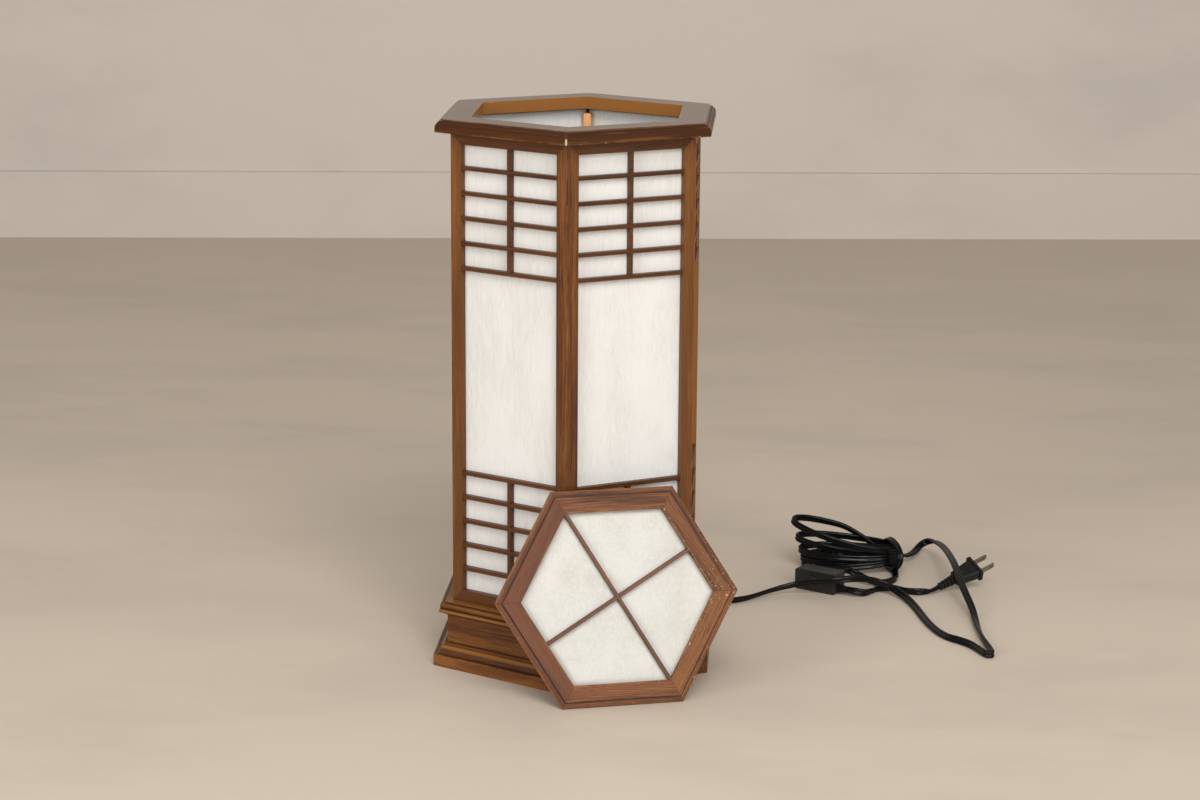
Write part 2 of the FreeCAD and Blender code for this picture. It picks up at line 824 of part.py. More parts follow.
def plug_relief():
    """The plug's ribbed strain relief."""
    relief = ribbed_relief(plug_relief_length, plug_tail_thickness, plug_relief_tip)
    relief.rotate(Vec(0, 0, 0), Vec(0, 0, 1), 180)
    relief.translate(Vec(plug_relief_length, 0, 0))
    return plug_place(relief)


def plug_blades():
    """The two flat blades, each with a hole near its tip."""
    seat = plug_relief_length + plug_body_length + plug_flange_thickness
    blades = []
    for side in (-1.0, 1.0):
        middle = side * blade_spacing / 2.0
        blade = Part.makeBox(blade_length, blade_thickness, blade_width,
                             Vec(seat, middle - blade_thickness / 2.0, -blade_width / 2.0))
        tip = [edge for edge in blade.Edges
               if edge.BoundBox.XMin > seat + blade_length - 0.01 and edge.BoundBox.YLength > 0.9]
        blade = blade.makeFillet(1.6, tip)
        hole = rod(Vec(seat + blade_length - blade_hole_inset, middle - blade_thickness, 0), Vec(0, 1, 0),
                   2.0 * blade_thickness, blade_hole)
        blades.append(plug_place(blade.cut(hole)))
    return Part.makeCompound(blades)


# Cord

def tangent_path(points):
    """Straight runs joined by arcs as large as the runs allow; also gives the arcs' radii."""
    edges = []
    radii = []
    here = points[0]
    for before, corner, after in zip(points, points[1:], points[2:]):
        back = before - corner
        ahead = after - corner
        shorter = min(back.Length, ahead.Length)
        back.normalize()
        ahead.normalize()
        turn = math.pi - back.getAngle(ahead)
        reach = 0.45 * shorter
        radius = reach / math.tan(turn / 2.0)
        inward = back + ahead
        inward.normalize()
        middle = corner + inward * (math.hypot(radius, reach) - radius)
        start = corner + back * reach
        end = corner + ahead * reach
        edges.append(Part.LineSegment(here, start).toShape())
        edges.append(Part.Arc(start, middle, end).toShape())
        radii.append(radius)
        here = end
    edges.append(Part.LineSegment(here, points[-1]).toShape())
    return Part.Wire(edges), radii


def tube(path, start, direction):
    """A round tube of the cord's size along a path."""
    profile = Part.Wire([Part.makeCircle(cord_tube / 2.0, start, direction)])
    pipe = Part.BRepOffsetAPI.MakePipeShell(path)
    pipe.add(profile)
    pipe.build()
    pipe.makeSolid()
    return pipe.shape()


def report_tube(name, solid, path):
    """Print how a tube's volume compares with its section times its length."""
    expected = math.pi * cord_tube ** 2 / 4.0 * path.Length
    print("%s: length %.0f mm, volume share %.4f" % (name, path.Length, solid.Volume / expected))


def cord_along(name, points):
    """A stretch of cord through hand-chosen points."""
    path, radii = tangent_path(points)
    solid = tube(path, points[0], points[1] - points[0])
    report_tube(name, solid, path)
    print("  radii " + " ".join("%.0f" % radius for radius in radii))
    return solid


def biarc(start, leave, end, arrive):
    """Two tangent arcs from one point and direction to another."""
    chord = end - start
    total = leave + arrive
    square = 2.0 * (leave.dot(arrive) - 1.0)
    linear = -2.0 * chord.dot(total)
    constant = chord.dot(chord)
    reach = (-linear - math.sqrt(linear ** 2 - 4.0 * square * constant)) / (2.0 * square)
    first = start + leave * reach
    second = end - arrive * reach
    joint = (first + second) * 0.5
    edges = []
    for here, corner, there in ((start, first, joint), (joint, second, end)):
        half = (there - here).Length / 2.0
        middle = (here + there) * 0.5
        lean = math.acos(min(1.0, half / reach))
        rise = corner - middle
        rise.normalize()
        edges.append(Part.Arc(here, middle + rise * (half * math.tan(lean / 2.0)), there).toShape())
    return edges


def loop_point(turn):
    """The hank's loops: from the tied end they nest in twos, and they fan out at the free end."""
    angle = 2.0 * math.pi * turn
    spread = (1.0 - math.cos(angle)) / 2.0
    nest = nest_step * (1.0 + math.cos(math.pi * turn)) / 2.0
    growth = (turn / hank_turns) ** 2
    length = hank_half_length + nest + growth * loop_reach * spread
    width = hank_half_width + nest + growth * loop_widening
    pitch = tied_pitch + (free_pitch - tied_pitch) * spread ** 1.5
    height = cord_tube / 2.0 + hank_rest + tie_lift * (1.0 - spread)
    height += pitch * (turn - spread / 2.0) + loop_rise * growth ** 2 * spread
    return hank_centre + Vec(length * math.cos(angle), -width * math.sin(angle), height)


def tie_point(turn):
    """The cord's own turns around the tied end of the hank."""
    angle = 2.0 * math.pi * turn
    low = cord_tube / 2.0 + hank_rest
    return hank_centre + Vec(tie_place + tie_drift * turn, tie_half_width * math.cos(angle),
                             low + tie_half_height * (1.0 - math.sin(angle)))


def stations(curve, turns):
    """Points and directions on a curve at each quarter turn."""
    small = 0.001
    found = []
    for quarter in range(int(round(turns * 4)) + 1):
        turn = quarter / 4.0
        direction = curve(turn + small) - curve(turn - small)
        direction.normalize()
        found.append((curve(turn), direction))
    return found


def hank_stations():
    """The loops, the tie and the way out to the switch."""
    found = stations(loop_point, hank_turns) + stations(tie_point, tie_turns)
    last = found[-1][0]
    out = Vec(0, -1, 0)
    found.append((last + out * (tie_half_width + tie_exit), out))
    return found


def least_gap(path):
    """The least clear distance of a tube to itself, measured on points along its path."""
    spacing = 2.0
    points = path.discretize(Distance=spacing)
    skip = int(4.0 * cord_tube / spacing)
    least = min((first - second).Length for index, first in enumerate(points)
                for second in points[index + skip:])
    return least - cord_tube


def cord_hank():
    """The tied hank as one unbroken tube, with a straight piece at each end."""
    found = hank_stations()
    start, leave = found[0]
    end, arrive = found[-1]
    head = start - leave * cord_tube
    edges = [Part.LineSegment(head, start).toShape()]
    for (here, away), (there, towards) in zip(found, found[1:]):
        edges.extend(biarc(here, away, there, towards))
    edges.append(Part.LineSegment(end, end + arrive * cord_tube).toShape())
    path = Part.Wire(edges)
    solid = tube(path, head, leave)
    report_tube("cord_hank", solid, path)
    print("  least gap %.2f mm" % least_gap(path))
    return solid


def hank_head():
    """Where the run meets the hank, and the way the cord goes there."""
    start, leave = hank_stations()[0]
    return start - leave * cord_tube, leave


def hank_tail():
    """Where the link leaves the hank, and the way the cord goes there."""
    end, arrive = hank_stations()[-1]
    return end + arrive * cord_tube, arrive


def cord_run():
    """From the plinth round the fold and over the plug to the hank."""
    out = side_direction(CORD_SIDE)
    nose = out * (fascia_face + bushing_flange_thickness + bushing_nose_length) + Vec(0, 0, bushing_height)
    head, leave = hank_head()
    points = [nose, nose + out * 12.0,
              Vec(86, 138, 22), Vec(104, 142, 11), Vec(124, 139, 4.5), Vec(144, 140, 2.9),
              Vec(160, 152, 3.2), Vec(176, 166, 5), Vec(193, 175, 8), Vec(210, 178, 11.5),
              Vec(228, 175, 15), Vec(246, 170, 18), Vec(263, 175, 19.5), Vec(280, 183, 17),
              Vec(294, 188, 12), Vec(307, 182, 7), Vec(318.3, 165, 4), Vec(326.5, 138, 2.9),
              Vec(334, 98, 2.8), Vec(343, 64, 2.8), Vec(353.5, 43, 2.8), Vec(364, 32.5, 2.8),
              Vec(373.2, 22, 2.8), Vec(380.2, 7, 2.8), Vec(384.2, -5, 2.8), Vec(387.4, -10.2, 2.8),
              Vec(392.4, -10.2, 2.8), Vec(395, -5, 2.8), Vec(393.8, 4, 2.8), Vec(390.5, 17, 2.8),
              Vec(386.8, 36, 2.8),
              Vec(384.2, 66, 2.8), Vec(383, 100, 3.2), Vec(381, 119, 8.4), Vec(378, 133, 12.8),
              Vec(375, 147, 17), Vec(372.4, 160, 20.7), Vec(369.2, 190, 26.5), Vec(365.6, 224, 28.6),
              Vec(361.3, 278, 24), Vec(355.6, 314, 19.4), Vec(351.2, 332, 15.9), Vec(345.6, 340, 12.6),
              Vec(339.6, 337.5, 9.8), Vec(335.6, 328, 8), Vec(331, 316, 6.8), Vec(323.5, 303, 7),
              Vec(316.8, 293, 10), head - leave * 7.0, head]
    return cord_along("cord_run", points)


def cord_link():
    """From the hank to the switch."""
    tail, leave = hank_tail()
    tip, away = relief_tip(0)
    points = [tail, tail + leave * 9.0, Vec(301, 217, 2.9), Vec(291, 213, 4), Vec(280.5, 215, 6.8),
              Vec(271.5, 220, 10.2), Vec(264, 221, 13), tip + away * 9.0, tip]
    return cord_along("cord_link", points)


def cord_tail():
    """From the switch to the plug."""
    tip, away = relief_tip(1)
    axis = plug_axis()
    points = [tip, tip + away * 9.0, Vec(277, 177, 3.8), Vec(284, 186, 2.9), Vec(290, 195, 2.8),
              Vec(298, 199, 2.8), Vec(307, 197, 2.8), Vec(316, 191, 2.8), Vec(326, 186, 2.9),
              Vec(335, 187, 2.8), plug_start - axis * 9.0, plug_start]
    return cord_along("cord_tail", points)


def inner_lead():
    """From the bushing to the lampholder, slack above the base board."""
    out = side_direction(CORD_SIDE)
    boss_height = holder_base + holder_flange_height + holder_boss_diameter / 2.0
    start = out * plinth_inner + Vec(0, 0, bushing_height)
    end = out * holder_boss_reach + Vec(0, 0, boss_height)
    slack = Vec(0, 0, 5.0)
    span = start - end
    points = [start, start - out * 14.0, end + span * 0.5 - slack, end + out * 14.0, end]
    return cord_along("inner_lead", points)


# Nodes

def nodes():
    """Every piece of the lamp by its name."""
    stiles, rails = panel_frame()
    bars, mullions = panel_lattices()
    paper = panel_paper()
    found = {}
    for side, name in enumerate(PANELS):
        found[name + "_stiles"] = on_side(stiles, side)
        found[name + "_rails"] = on_side(rails, side)
        found[name + "_cross_bars"] = on_side(bars, side)
        found[name + "_mullions"] = on_side(mullions, side)
        found[name + "_paper"] = on_side(paper, side)
    found["corner_posts"] = corner_posts()
    found["cap_ring"] = cap_ring()
    found["plinth_mouldings"] = plinth_mouldings()
    found["base_board"] = base_board()
    found["board_screws"] = Part.makeCompound(board_screws())
    found["holder_body"] = holder_body()
    found["holder_shell"] = holder_shell()
    found["holder_contact"] = holder_contact()
    found["holder_screws"] = Part.makeCompound(holder_screws())
    found["bulb_glass"] = bulb_glass()
    found["bulb_cap"] = bulb_cap()
    found["bulb_contact"] = bulb_contact()
    found["lid_frame"] = lid_frame()
    found["lid_paper"] = lid_paper()
    found["lid_corner_bar"] = lid_bar(STEP * 2.0, True)
    found["lid_side_bar"] = lid_bar(STEP / 2.0, False)
    found["cord_bushing"] = cord_bushing()
    found["inner_lead"] = inner_lead()
    found["cord_run"] = cord_run()
    found["cord_hank"] = cord_hank()
    found["cord_link"] = cord_link()
    found["cord_tail"] = cord_tail()
    found["switch_cover"] = switch_cover()
    found["switch_base"] = switch_base()
    found["switch_button"] = switch_button()
    found["switch_reliefs"] = switch_reliefs()
    found["plug_body"] = plug_body()
    found["plug_relief"] = plug_relief()
    found["plug_blades"] = plug_blades()
    return found


os.makedirs("parts", exist_ok=True)
for node_name, node_shape in nodes().items():
    if not node_shape.isValid():
        raise ValueError(node_name + " is not a valid shape")
    node_shape.exportStep("parts/" + node_name + ".step")
    print("%s: %d solids, %.1f cm3" % (node_name, len(node_shape.Solids), node_shape.Volume / 1000.0))
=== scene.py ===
import math

import bpy
from mathutils import Matrix, Vector


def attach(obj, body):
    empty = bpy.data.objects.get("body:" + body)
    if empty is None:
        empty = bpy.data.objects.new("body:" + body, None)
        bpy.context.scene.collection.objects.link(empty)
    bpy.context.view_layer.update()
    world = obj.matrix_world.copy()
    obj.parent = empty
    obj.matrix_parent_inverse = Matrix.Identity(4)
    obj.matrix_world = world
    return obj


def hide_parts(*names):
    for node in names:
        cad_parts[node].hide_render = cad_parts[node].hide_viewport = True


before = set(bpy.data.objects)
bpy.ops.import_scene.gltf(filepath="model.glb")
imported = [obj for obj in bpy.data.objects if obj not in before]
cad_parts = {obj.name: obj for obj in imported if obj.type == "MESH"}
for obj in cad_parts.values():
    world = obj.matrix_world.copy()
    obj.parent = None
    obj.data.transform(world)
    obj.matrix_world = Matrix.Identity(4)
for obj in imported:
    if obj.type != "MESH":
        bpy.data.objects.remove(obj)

bl_info = {
    "name": "Rice paper table lamp",
    "version": (1, 0, 0),
    "blender": (4, 5, 0),
    "location": "View3D > Sidebar > Lamp",
    "description": "Looks of a six-sided shoji table lamp with its lid off and its cord beside it",
    "category": "Object",
}

MM = 0.001
SIXTH = math.pi / 3.0
TAN30 = math.tan(math.pi / 6.0)
PANELS = ("front_right", "right", "rear_right", "rear_left", "left", "front_left")

# Places on the lamp that the finishes and the painted light and shade follow, in metres: distances out from
# the tower's axis and heights.
CAP_INNER, CAP_TOP, CAP_BAND = 0.09277, 0.11747, 0.12297
CAP_FOOT, LAMP_TOP = 0.4965, 0.508
PLINTH_BAND, PLINTH_BAND_TOP = 0.12687, 0.011
PLINTH_BEAD, PLINTH_BEAD_HEIGHT = 0.12197, 0.052
LEDGE_FOOT, TOWER_FOOT = 0.0540, 0.061
WINDOW_HALF, SIDE_HALF = 0.0520, 0.0632

# Lines on the mouldings, each as its height and its reach up and down, in metres: painted highlights on the
# cap and on the plinth's rounds, painted shade in the grooves and along the plinth's steps, and the height of
# the cap's chip.
CAP_HIGHLIGHTS = ((LAMP_TOP - 0.0033, 0.0009), (CAP_FOOT + 0.0018, 0.0022))
CAP_GROOVE_SHADE = ((LAMP_TOP - 0.0019, 0.0010), (LAMP_TOP - 0.0047, 0.0012))
CAP_CHIP = (CAP_FOOT + 0.0025, 0.0042)
PLINTH_HIGHLIGHTS = ((0.0175, 0.0030), (PLINTH_BEAD_HEIGHT, 0.0036))
PLINTH_GROOVE_SHADE = ((0.0113, 0.0011), (0.0212, 0.0013), (0.0484, 0.0013), (LEDGE_FOOT, 0.0013),
                  (0.0593, 0.0013))
PLINTH_LINE_SHADE = ((0.0142, 0.0006), (0.0190, 0.0006), (0.0508, 0.0006), (0.0566, 0.0006))

# What is added to the distance from a mitre, which wears less than an arris, in metres.
MITRE_SPARE = 0.0005

# The numbers of the sides that the painted light and shade single out on the tower, and that the lid's finish
# singles out, counted anticlockwise from the front right of the tower and from the foot of the lid. A half
# stands for two sides together.
FRONT_RIGHT, RIGHT, FRONT_LEFT = 0.0, 1.0, 5.0
LID_LOW_RIGHT, LID_RIGHT, LID_LEFT = 1.0, 1.5, 4.5

# The figure of stained wood in cycles per metre along and across the grain, and its rings in radians per
# metre.
DRIFT, BROAD, STREAK = (9.0, 14.0), (5.0, 60.0), (13.0, 620.0)
THREAD, PORE, RINGS = (60.0, 2100.0), (210.0, 2600.0), 3200.0

# The figure of paper in cycles per metre across its fibres, and how far these are drawn out on the panels and
# on the lid.
FIBRE, STRAND, HAIR, CLOUD = 900.0, 330.0, 150.0, 28.0
PANEL_STRETCH, LID_STRETCH = 3.0, 1.3

# What sets the figure of each side apart, in the wood and in the paper, and what sets the lid's wood apart.
WOOD_SEED, PAPER_SEED, LID_SEED = 3.7, 5.3, 11.0

# The lid where it leans: its face's centre, along its lower edge, up its face and out of its face.
LID_CENTRE = Vector((0.0490, -0.1504, 0.0947))
LID_ALONG = Vector((0.9581, 0.2865, 0.0))
LID_UP = Vector((-0.0751, 0.2512, 0.9650))
LID_OUT = Vector((0.2765, -0.9246, 0.2622))
LID_EDGE, LID_STEP, LID_WINDOW = 0.0962, 0.0912, 0.0765

# The cord's route from the plinth to the hank, from the hank to the switch and from the switch to the
# plug, in millimetres.
RUN = ((62.9, 109.0, 30.0), (68.9, 119.4, 30.0), (86, 138, 22), (104, 142, 11), (124, 139, 4.5),
       (144, 140, 2.9), (160, 152, 3.2), (176, 166, 5), (193, 175, 8), (210, 178, 11.5), (228, 175, 15),
       (246, 170, 18), (263, 175, 19.5), (280, 183, 17), (294, 188, 12), (307, 182, 7), (318.3, 165, 4),
       (326.5, 138, 2.9), (334, 98, 2.8), (343, 64, 2.8), (353.5, 43, 2.8), (364, 32.5, 2.8),
       (373.2, 22, 2.8), (380.2, 7, 2.8), (385.0, -5, 2.8), (386.6, -7.9, 2.8), (390.0, -8.6, 2.8),
       (392.6, -6.4, 2.8), (392.8, -3, 2.8), (391.8, 6, 2.8), (389.8, 18, 2.8), (386.8, 36, 2.8),
       (384.2, 66, 2.8), (383, 100, 3.2), (381, 119, 8.4), (378, 133, 12.8), (375, 147, 17),
       (372.4, 160, 20.7), (369.2, 190, 26.5), (365.6, 224, 28.6), (361.3, 278, 24), (355.6, 314, 19.4),
       (351.2, 332, 15.9), (345.6, 340, 12.6), (339.6, 337.5, 9.8), (335.6, 328, 8), (331, 316, 6.8),
       (323.5, 303, 7), (316.8, 293, 10), (313, 285.2, 12.2), (313, 278.2, 12.4))
LINK = ((309.9, 237.8, 3.0), (309.9, 228.8, 3.0), (301, 217, 2.9), (291, 213, 4), (280.5, 215, 6.8),
        (271.5, 220, 10.2), (264, 221, 13), (258.5, 216.3, 16), (254.0, 208.5, 16))
TAIL = ((259.5, 179.9, 6.0), (267.3, 175.4, 6.0), (277, 177, 3.8), (284, 186, 2.9), (290, 195, 2.8),
        (298, 199, 2.8), (307, 197, 2.8), (316, 191, 2.8), (326, 186, 2.9), (335, 187, 2.8),
        (343.7, 192.6, 2.8), (351.0, 197.0, 5.6))

# How finely the route's spline is followed, and its order.
ROUTE_STEPS, ROUTE_ORDER = 6, 3

# The cord's fold, about which it stands on its edge, in metres.
FOLD, FOLD_REACH = Vector((0.391, -0.008, 0.003)), 0.08

# What turns the cord's wide side: the pull to lie level, in the hank up to its reach in metres and elsewhere,
# the pull to stand at the fold, what divides the square of a bend into its pull, and the hold of the way so
# far.
HANK_LEVEL, HANK_REACH, OPEN_LEVEL = 1.5, 0.072, 6.0
STAND_PULL, BEND_EASE, HOLD = 20.0, 30.0, 45.0

# Over how many points to each side a bend is taken, and how often the wide side's way is smoothed.
BEND_POINTS, SMOOTHINGS = 2, 16

# The flat cord's section: the angle at which a round lobe leaves the groove, and its steps.
LOBE_START, LOBE_STEPS = math.pi * 0.24, 14

# The cord's gap to the floor, in metres.
FLOOR_GAP = 0.0002

# The hank: its centre, its turns and the steps in each, and its loops and tie in millimetres.
HANK_CENTRE = (262.0, 273.0)
HANK_TURNS, TIE_TURNS, TURN_STEPS = 4.75, 1.25, 16
LOOP_LENGTH, LOOP_WIDTH, LOOP_NEST, LOOP_REACH, LOOP_WIDENING = 44.0, 15.0, 7.0, 13.0, 5.0
LOOP_REST, LOOP_LIFT, LOOP_RISE = 3.0, 9.5, 20.0
FREE_PITCH, TIED_PITCH = 8.2, 2.9
TIE_PLACE, TIE_DRIFT, TIE_WIDTH, TIE_HEIGHT, TIE_SLANT = 39.6, 6.6, 25.0, 14.6, 10.0

# The camera that was fitted to the photo: its place in metres, its axes and its lens in millimetres.
CAMERA_PLACE = (0.1937, -2.5613, 0.8438)
CAMERA_RIGHT = Vector((0.99762, 0.06868, 0.00651))
CAMERA_UP = Vector((-0.02208, 0.22843, 0.97331))
CAMERA_BACK = Vector((0.06536, -0.97114, 0.2294))
CAMERA_LENS, CAMERA_SENSOR, CAMERA_REACH = 85.06, 36.0, 50.0

# The room in metres, and the wall's turn in degrees.
ROOM_SIDE, FLOOR_END, FLOOR_THICK = 8.0, 6.0, 0.02
SKIRTING_FACE, WALL_FACE, WALL_BACK = 2.215, 2.227, 2.30
SKIRTING_HEIGHT, WALL_HEIGHT, WALL_TURN = 0.113, 4.0, 5.4

# The lights: for each its place and its size in metres, then what they look at, and their colours.
LIGHTS = {"front": ((1.9, -2.9, 1.3), 2.0), "left": ((-2.0, -2.6, 1.2), 1.6), "top": ((0.6, -2.5, 2.6), 1.6)}
LIGHT_AIM = Vector((0.05, 0.0, 0.25))
LIGHT_TINT, SKY_TINT = (1.0, 0.995, 0.985), (1.0, 0.990, 0.978, 1.0)

# A box's front and top, and all its faces, as the numbers of its corners.
FRONT = ((0, 4, 5, 1), (1, 5, 7, 3))
ALL_ROUND = FRONT + ((0, 1, 3, 2), (4, 6, 7, 5), (2, 3, 7, 6), (0, 2, 6, 4))


def colour(name, description, default):
    """A colour property."""
    return bpy.props.FloatVectorProperty(name=name, description=description, default=default, size=3,
                                         min=0.0, max=1.0, subtype="COLOR")


def length(name, description, default):
    """A length property."""
    return bpy.props.FloatProperty(name=name, description=description, default=default, min=0.0,
                                   unit="LENGTH", subtype="DISTANCE")


def share(name, description, default):
    """A property between none and all."""
    return bpy.props.FloatProperty(name=name, description=description, default=default, min=0.0, max=1.0,
                                   subtype="FACTOR")


def power(name, description, default):
    """A light's power."""
    return bpy.props.FloatProperty(name=name, description=description, default=default, min=0.0,
                                   unit="POWER")


class WoodLooks(bpy.types.PropertyGroup):
    """Colours and finish of the wood"""
    # Besides the stain's own streaks, Dark also paints shade in grooves, steps and along the windows, Gold
    # and Lid light paint highlights, and Lid dark paints shade on the lid bars' flanks.
    dark: colour("Dark", "Dark streaks of the stain", (0.045, 0.014, 0.0035))
    brown: colour("Brown", "Main colour of the stained wood", (0.130, 0.041, 0.0090))
    gold: colour("Gold", "Light streaks where the stain is thin", (0.265, 0.106, 0.0215))
    bar: colour("Bar", "Deeper stain of the bars and rails", (0.094, 0.0305, 0.0075))
    lid_dark: colour("Lid dark", "Dark streaks of the lid", (0.060, 0.020, 0.0072))
    lid_red: colour("Lid red", "Main colour of the lid", (0.168, 0.058, 0.0195))
    lid_light: colour("Lid light", "Light streaks of the lid", (0.290, 0.119, 0.042))
    plum: colour("Plum", "Deeper stain of the lid's left members", (0.120, 0.042, 0.023))
    orange: colour("Orange", "Thin stain on the cap's inner walls", (0.300, 0.115, 0.020))
    bare: colour("Bare", "Bare wood of the corner posts", (0.800, 0.400, 0.150))
    board: colour("Board", "Bare wood of the base board", (0.520, 0.350, 0.200))
    chip: colour("Chip", "Wood that shows where an edge is chipped", (0.640, 0.470, 0.310))
    gloss: share("Gloss", "Weight of the lacquer", 0.28)


class PaperLooks(bpy.types.PropertyGroup):
    """Colours of the paper"""
    sheet: colour("Sheet", "Main colour of the paper", (0.873, 0.862, 0.838))
    fibre: colour("Fibre", "Colour between the fibres", (0.748, 0.730, 0.696))
    # The lid's paper colours are the panels' paper made darker, as painted shade for the lid that leans back
    # into the light.
    lid_shaded_sheet: colour("Lid sheet", "Main colour of the lid's paper", (0.795, 0.785, 0.742))
    lid_shaded_fibre: colour("Lid fibre", "Colour between the fibres of the lid's paper", (0.640, 0.622, 0.560))
    glow: share("Glow", "Share of light that passes through the sheet", 0.25)


class CordLooks(bpy.types.PropertyGroup):
    """Sizes and colours of the cord and its fittings"""
    width: length("Width", "Width of the flat twin cord", 0.0074)
    thickness: length("Thickness", "Thickness of the flat twin cord", 0.0037)
    skin: colour("Skin", "Colour of the cord", (0.0045, 0.0045, 0.0048))
    moulded: colour("Moulded", "Colour of the switch, bushing and inner lead", (0.021, 0.0200, 0.0186))
    rubber: colour("Rubber", "Colour of the plug and the strain reliefs", (0.0110, 0.0104, 0.0095))
    blade: colour("Blade", "Colour of the plug's blades", (0.300, 0.256, 0.190))


class StageLooks(bpy.types.PropertyGroup):
    """Floor, wall and lights"""
    floor: colour("Floor", "Colour of the floor", (0.660, 0.562, 0.457))
    wall: colour("Wall", "Colour of the wall", (0.655, 0.588, 0.522))
    front: power("Front", "Power of the wide light to the right of the camera", 46.0)
    left: power("Left", "Power of the light to the left of the camera", 45.0)
    top: power("Top", "Power of the light from above", 64.0)
    sky: share("Sky", "Strength of the light from all round", 0.31)


class Wire:
    """A shader socket that can be reckoned with."""

    def __init__(self, shade, socket):
        self.shade = shade
        self.socket = socket

    def math(self, operation, *others):
        """The result of a Math node with this socket as its first input."""
        return self.shade.node("ShaderNodeMath", (self,) + others, operation=operation)

    def __add__(self, other):
        return self.math("ADD", other)

    __radd__ = __add__

    def __sub__(self, other):
        return self.math("SUBTRACT", other)

    def __rsub__(self, other):
        return self.shade.node("ShaderNodeMath", (other, self), operation="SUBTRACT")

    def __mul__(self, other):
        return self.math("MULTIPLY", other)

    __rmul__ = __mul__

    def __truediv__(self, other):
        return self.math("DIVIDE", other)

    def __abs__(self):
        return self.math("ABSOLUTE")

    def least(self, other):
        """The smaller of two values."""
        return self.math("MINIMUM", other)

    def most(self, other):
        """The larger of two values."""
        return self.math("MAXIMUM", other)

    def ramp(self, low, high):
        """A smooth step from 0 at low to 1 at high."""
        return self.shade.node("ShaderNodeMapRange", {"Value": self, "From Min": low, "From Max": high},
                               interpolation_type="SMOOTHSTEP")

    def near(self, place, reach):
        """1 where the value is at a place, falling to 0 at a reach from it."""
        return 1.0 - abs(self - place).ramp(0.0, reach)

    def near_any(self, places):
        """1 where the value is at one of some places, falling to 0 at that place's reach."""
        found = self.near(*places[0])
        for place in places[1:]:
            found = found.most(self.near(*place))
        return found


class Shade:
    """A material under construction, with positions in the lamp's frame in metres."""

    def __init__(self, name):
        self.material = bpy.data.materials.new(name)
        self.material.use_nodes = True
        self.tree = self.material.node_tree
        self.tree.nodes.clear()
        self.body = self.tree.nodes.new("ShaderNodeBsdfPrincipled")
        self.out = self.tree.nodes.new("ShaderNodeOutputMaterial")
        self.tree.links.new(self.body.outputs[0], self.out.inputs[0])
        self.place = self.node("ShaderNodeTexCoord", (), result="Object")
        self.x, self.y, self.z = (self.node("ShaderNodeSeparateXYZ", (self.place,), result=axis)
                                  for axis in "XYZ")

    def node(self, kind, inputs, result=0, **settings):
        """Any node: its settings, its inputs by order or by name, and one of its outputs."""
        made = self.tree.nodes.new(kind)
        for key, setting in settings.items():
            setattr(made, key, setting)
        pairs = inputs.items() if isinstance(inputs, dict) else enumerate(inputs)
        for key, value in pairs:
            self.feed(made.inputs[key], value)
        return Wire(self, made.outputs[result])

    def feed(self, socket, value):
        """Link or set one input."""
        if isinstance(value, Wire):
            self.tree.links.new(value.socket, socket)
        elif socket.type == "RGBA":
            socket.default_value = (*value[:3], 1.0)
        else:
            socket.default_value = value

    def vector(self, x, y, z):
        """Three values as one vector."""
        return self.node("ShaderNodeCombineXYZ", (x, y, z))

    def noise(self, vector, scale=1.0, detail=2.0, roughness=0.5):
        """Smooth noise about one half."""
        return self.node("ShaderNodeTexNoise", {"Vector": vector, "Scale": scale, "Detail": detail,
                                                "Roughness": roughness})

    def mix(self, first, second, factor):
        """A colour between two colours."""
        return self.node("ShaderNodeMix", {0: factor, 6: first, 7: second}, result=2, data_type="RGBA")

    def along(self, direction, origin):
        """The position along a direction from an origin, both in the lamp's frame."""
        moved = self.node("ShaderNodeVectorMath", (self.place, origin), operation="SUBTRACT")
        return self.node("ShaderNodeVectorMath", (moved, direction), result="Value",
                         operation="DOT_PRODUCT")

    def distance(self, point):
        """The distance from a point."""
        return self.node("ShaderNodeVectorMath", (self.place, point), result="Value", operation="DISTANCE")

    def folded(self, x, y, first):
        """Distance out, distance along and number of the hexagon's side that a point belongs to."""
        angle = y.math("ARCTAN2", x) - first
        side = (angle / SIXTH).math("ROUND")
        local = angle - side * SIXTH
        radius = (x * x + y * y).math("SQRT")
        return radius * local.math("COSINE"), radius * local.math("SINE"), side.math("FLOORED_MODULO", 6.0)

    def set(self, **inputs):
        """Feed the surface's own inputs; underscores stand for blanks."""
        for key, value in inputs.items():
            self.feed(self.body.inputs[key.replace("_", " ")], value)

    def relief(self, height, strength, distance, edge=None):
        """Raise the surface by a height field, and round its edges where a radius is given."""
        inputs = {"Strength": strength, "Distance": distance, "Height": height}
        if edge:
            inputs["Normal"] = self.node("ShaderNodeBevel", {"Radius": edge}, samples=4)
        self.set(Normal=self.node("ShaderNodeBump", inputs))


class Sides:
    """A shade's fields on the six sides of the tower or of the lid's frame."""

    def __init__(self, shade, x, y, height, first):
        self.out, self.along, self.side = shade.folded(x, y, first)
        self.height = height

    def corner(self):
        """The distance from the corner between two sides, along the side."""
        return self.out * TAN30 - abs(self.along)

    def arris(self, out, height):
        """The distance from an arris along the sides, outward and upward together."""
        return abs(self.out - out) + abs(self.height - height)


def tower_sides(shade):
    """The sides of the tower, with its heights."""
    return Sides(shade, shade.x, shade.y, shade.z, -SIXTH)


def lid_sides(shade):
    """The sides of the lid, with the heights out of its face."""
    across, up, out = (shade.along(way, LID_CENTRE) for way in (LID_ALONG, LID_UP, LID_OUT))
    return Sides(shade, across, up, out, -math.pi / 2.0)


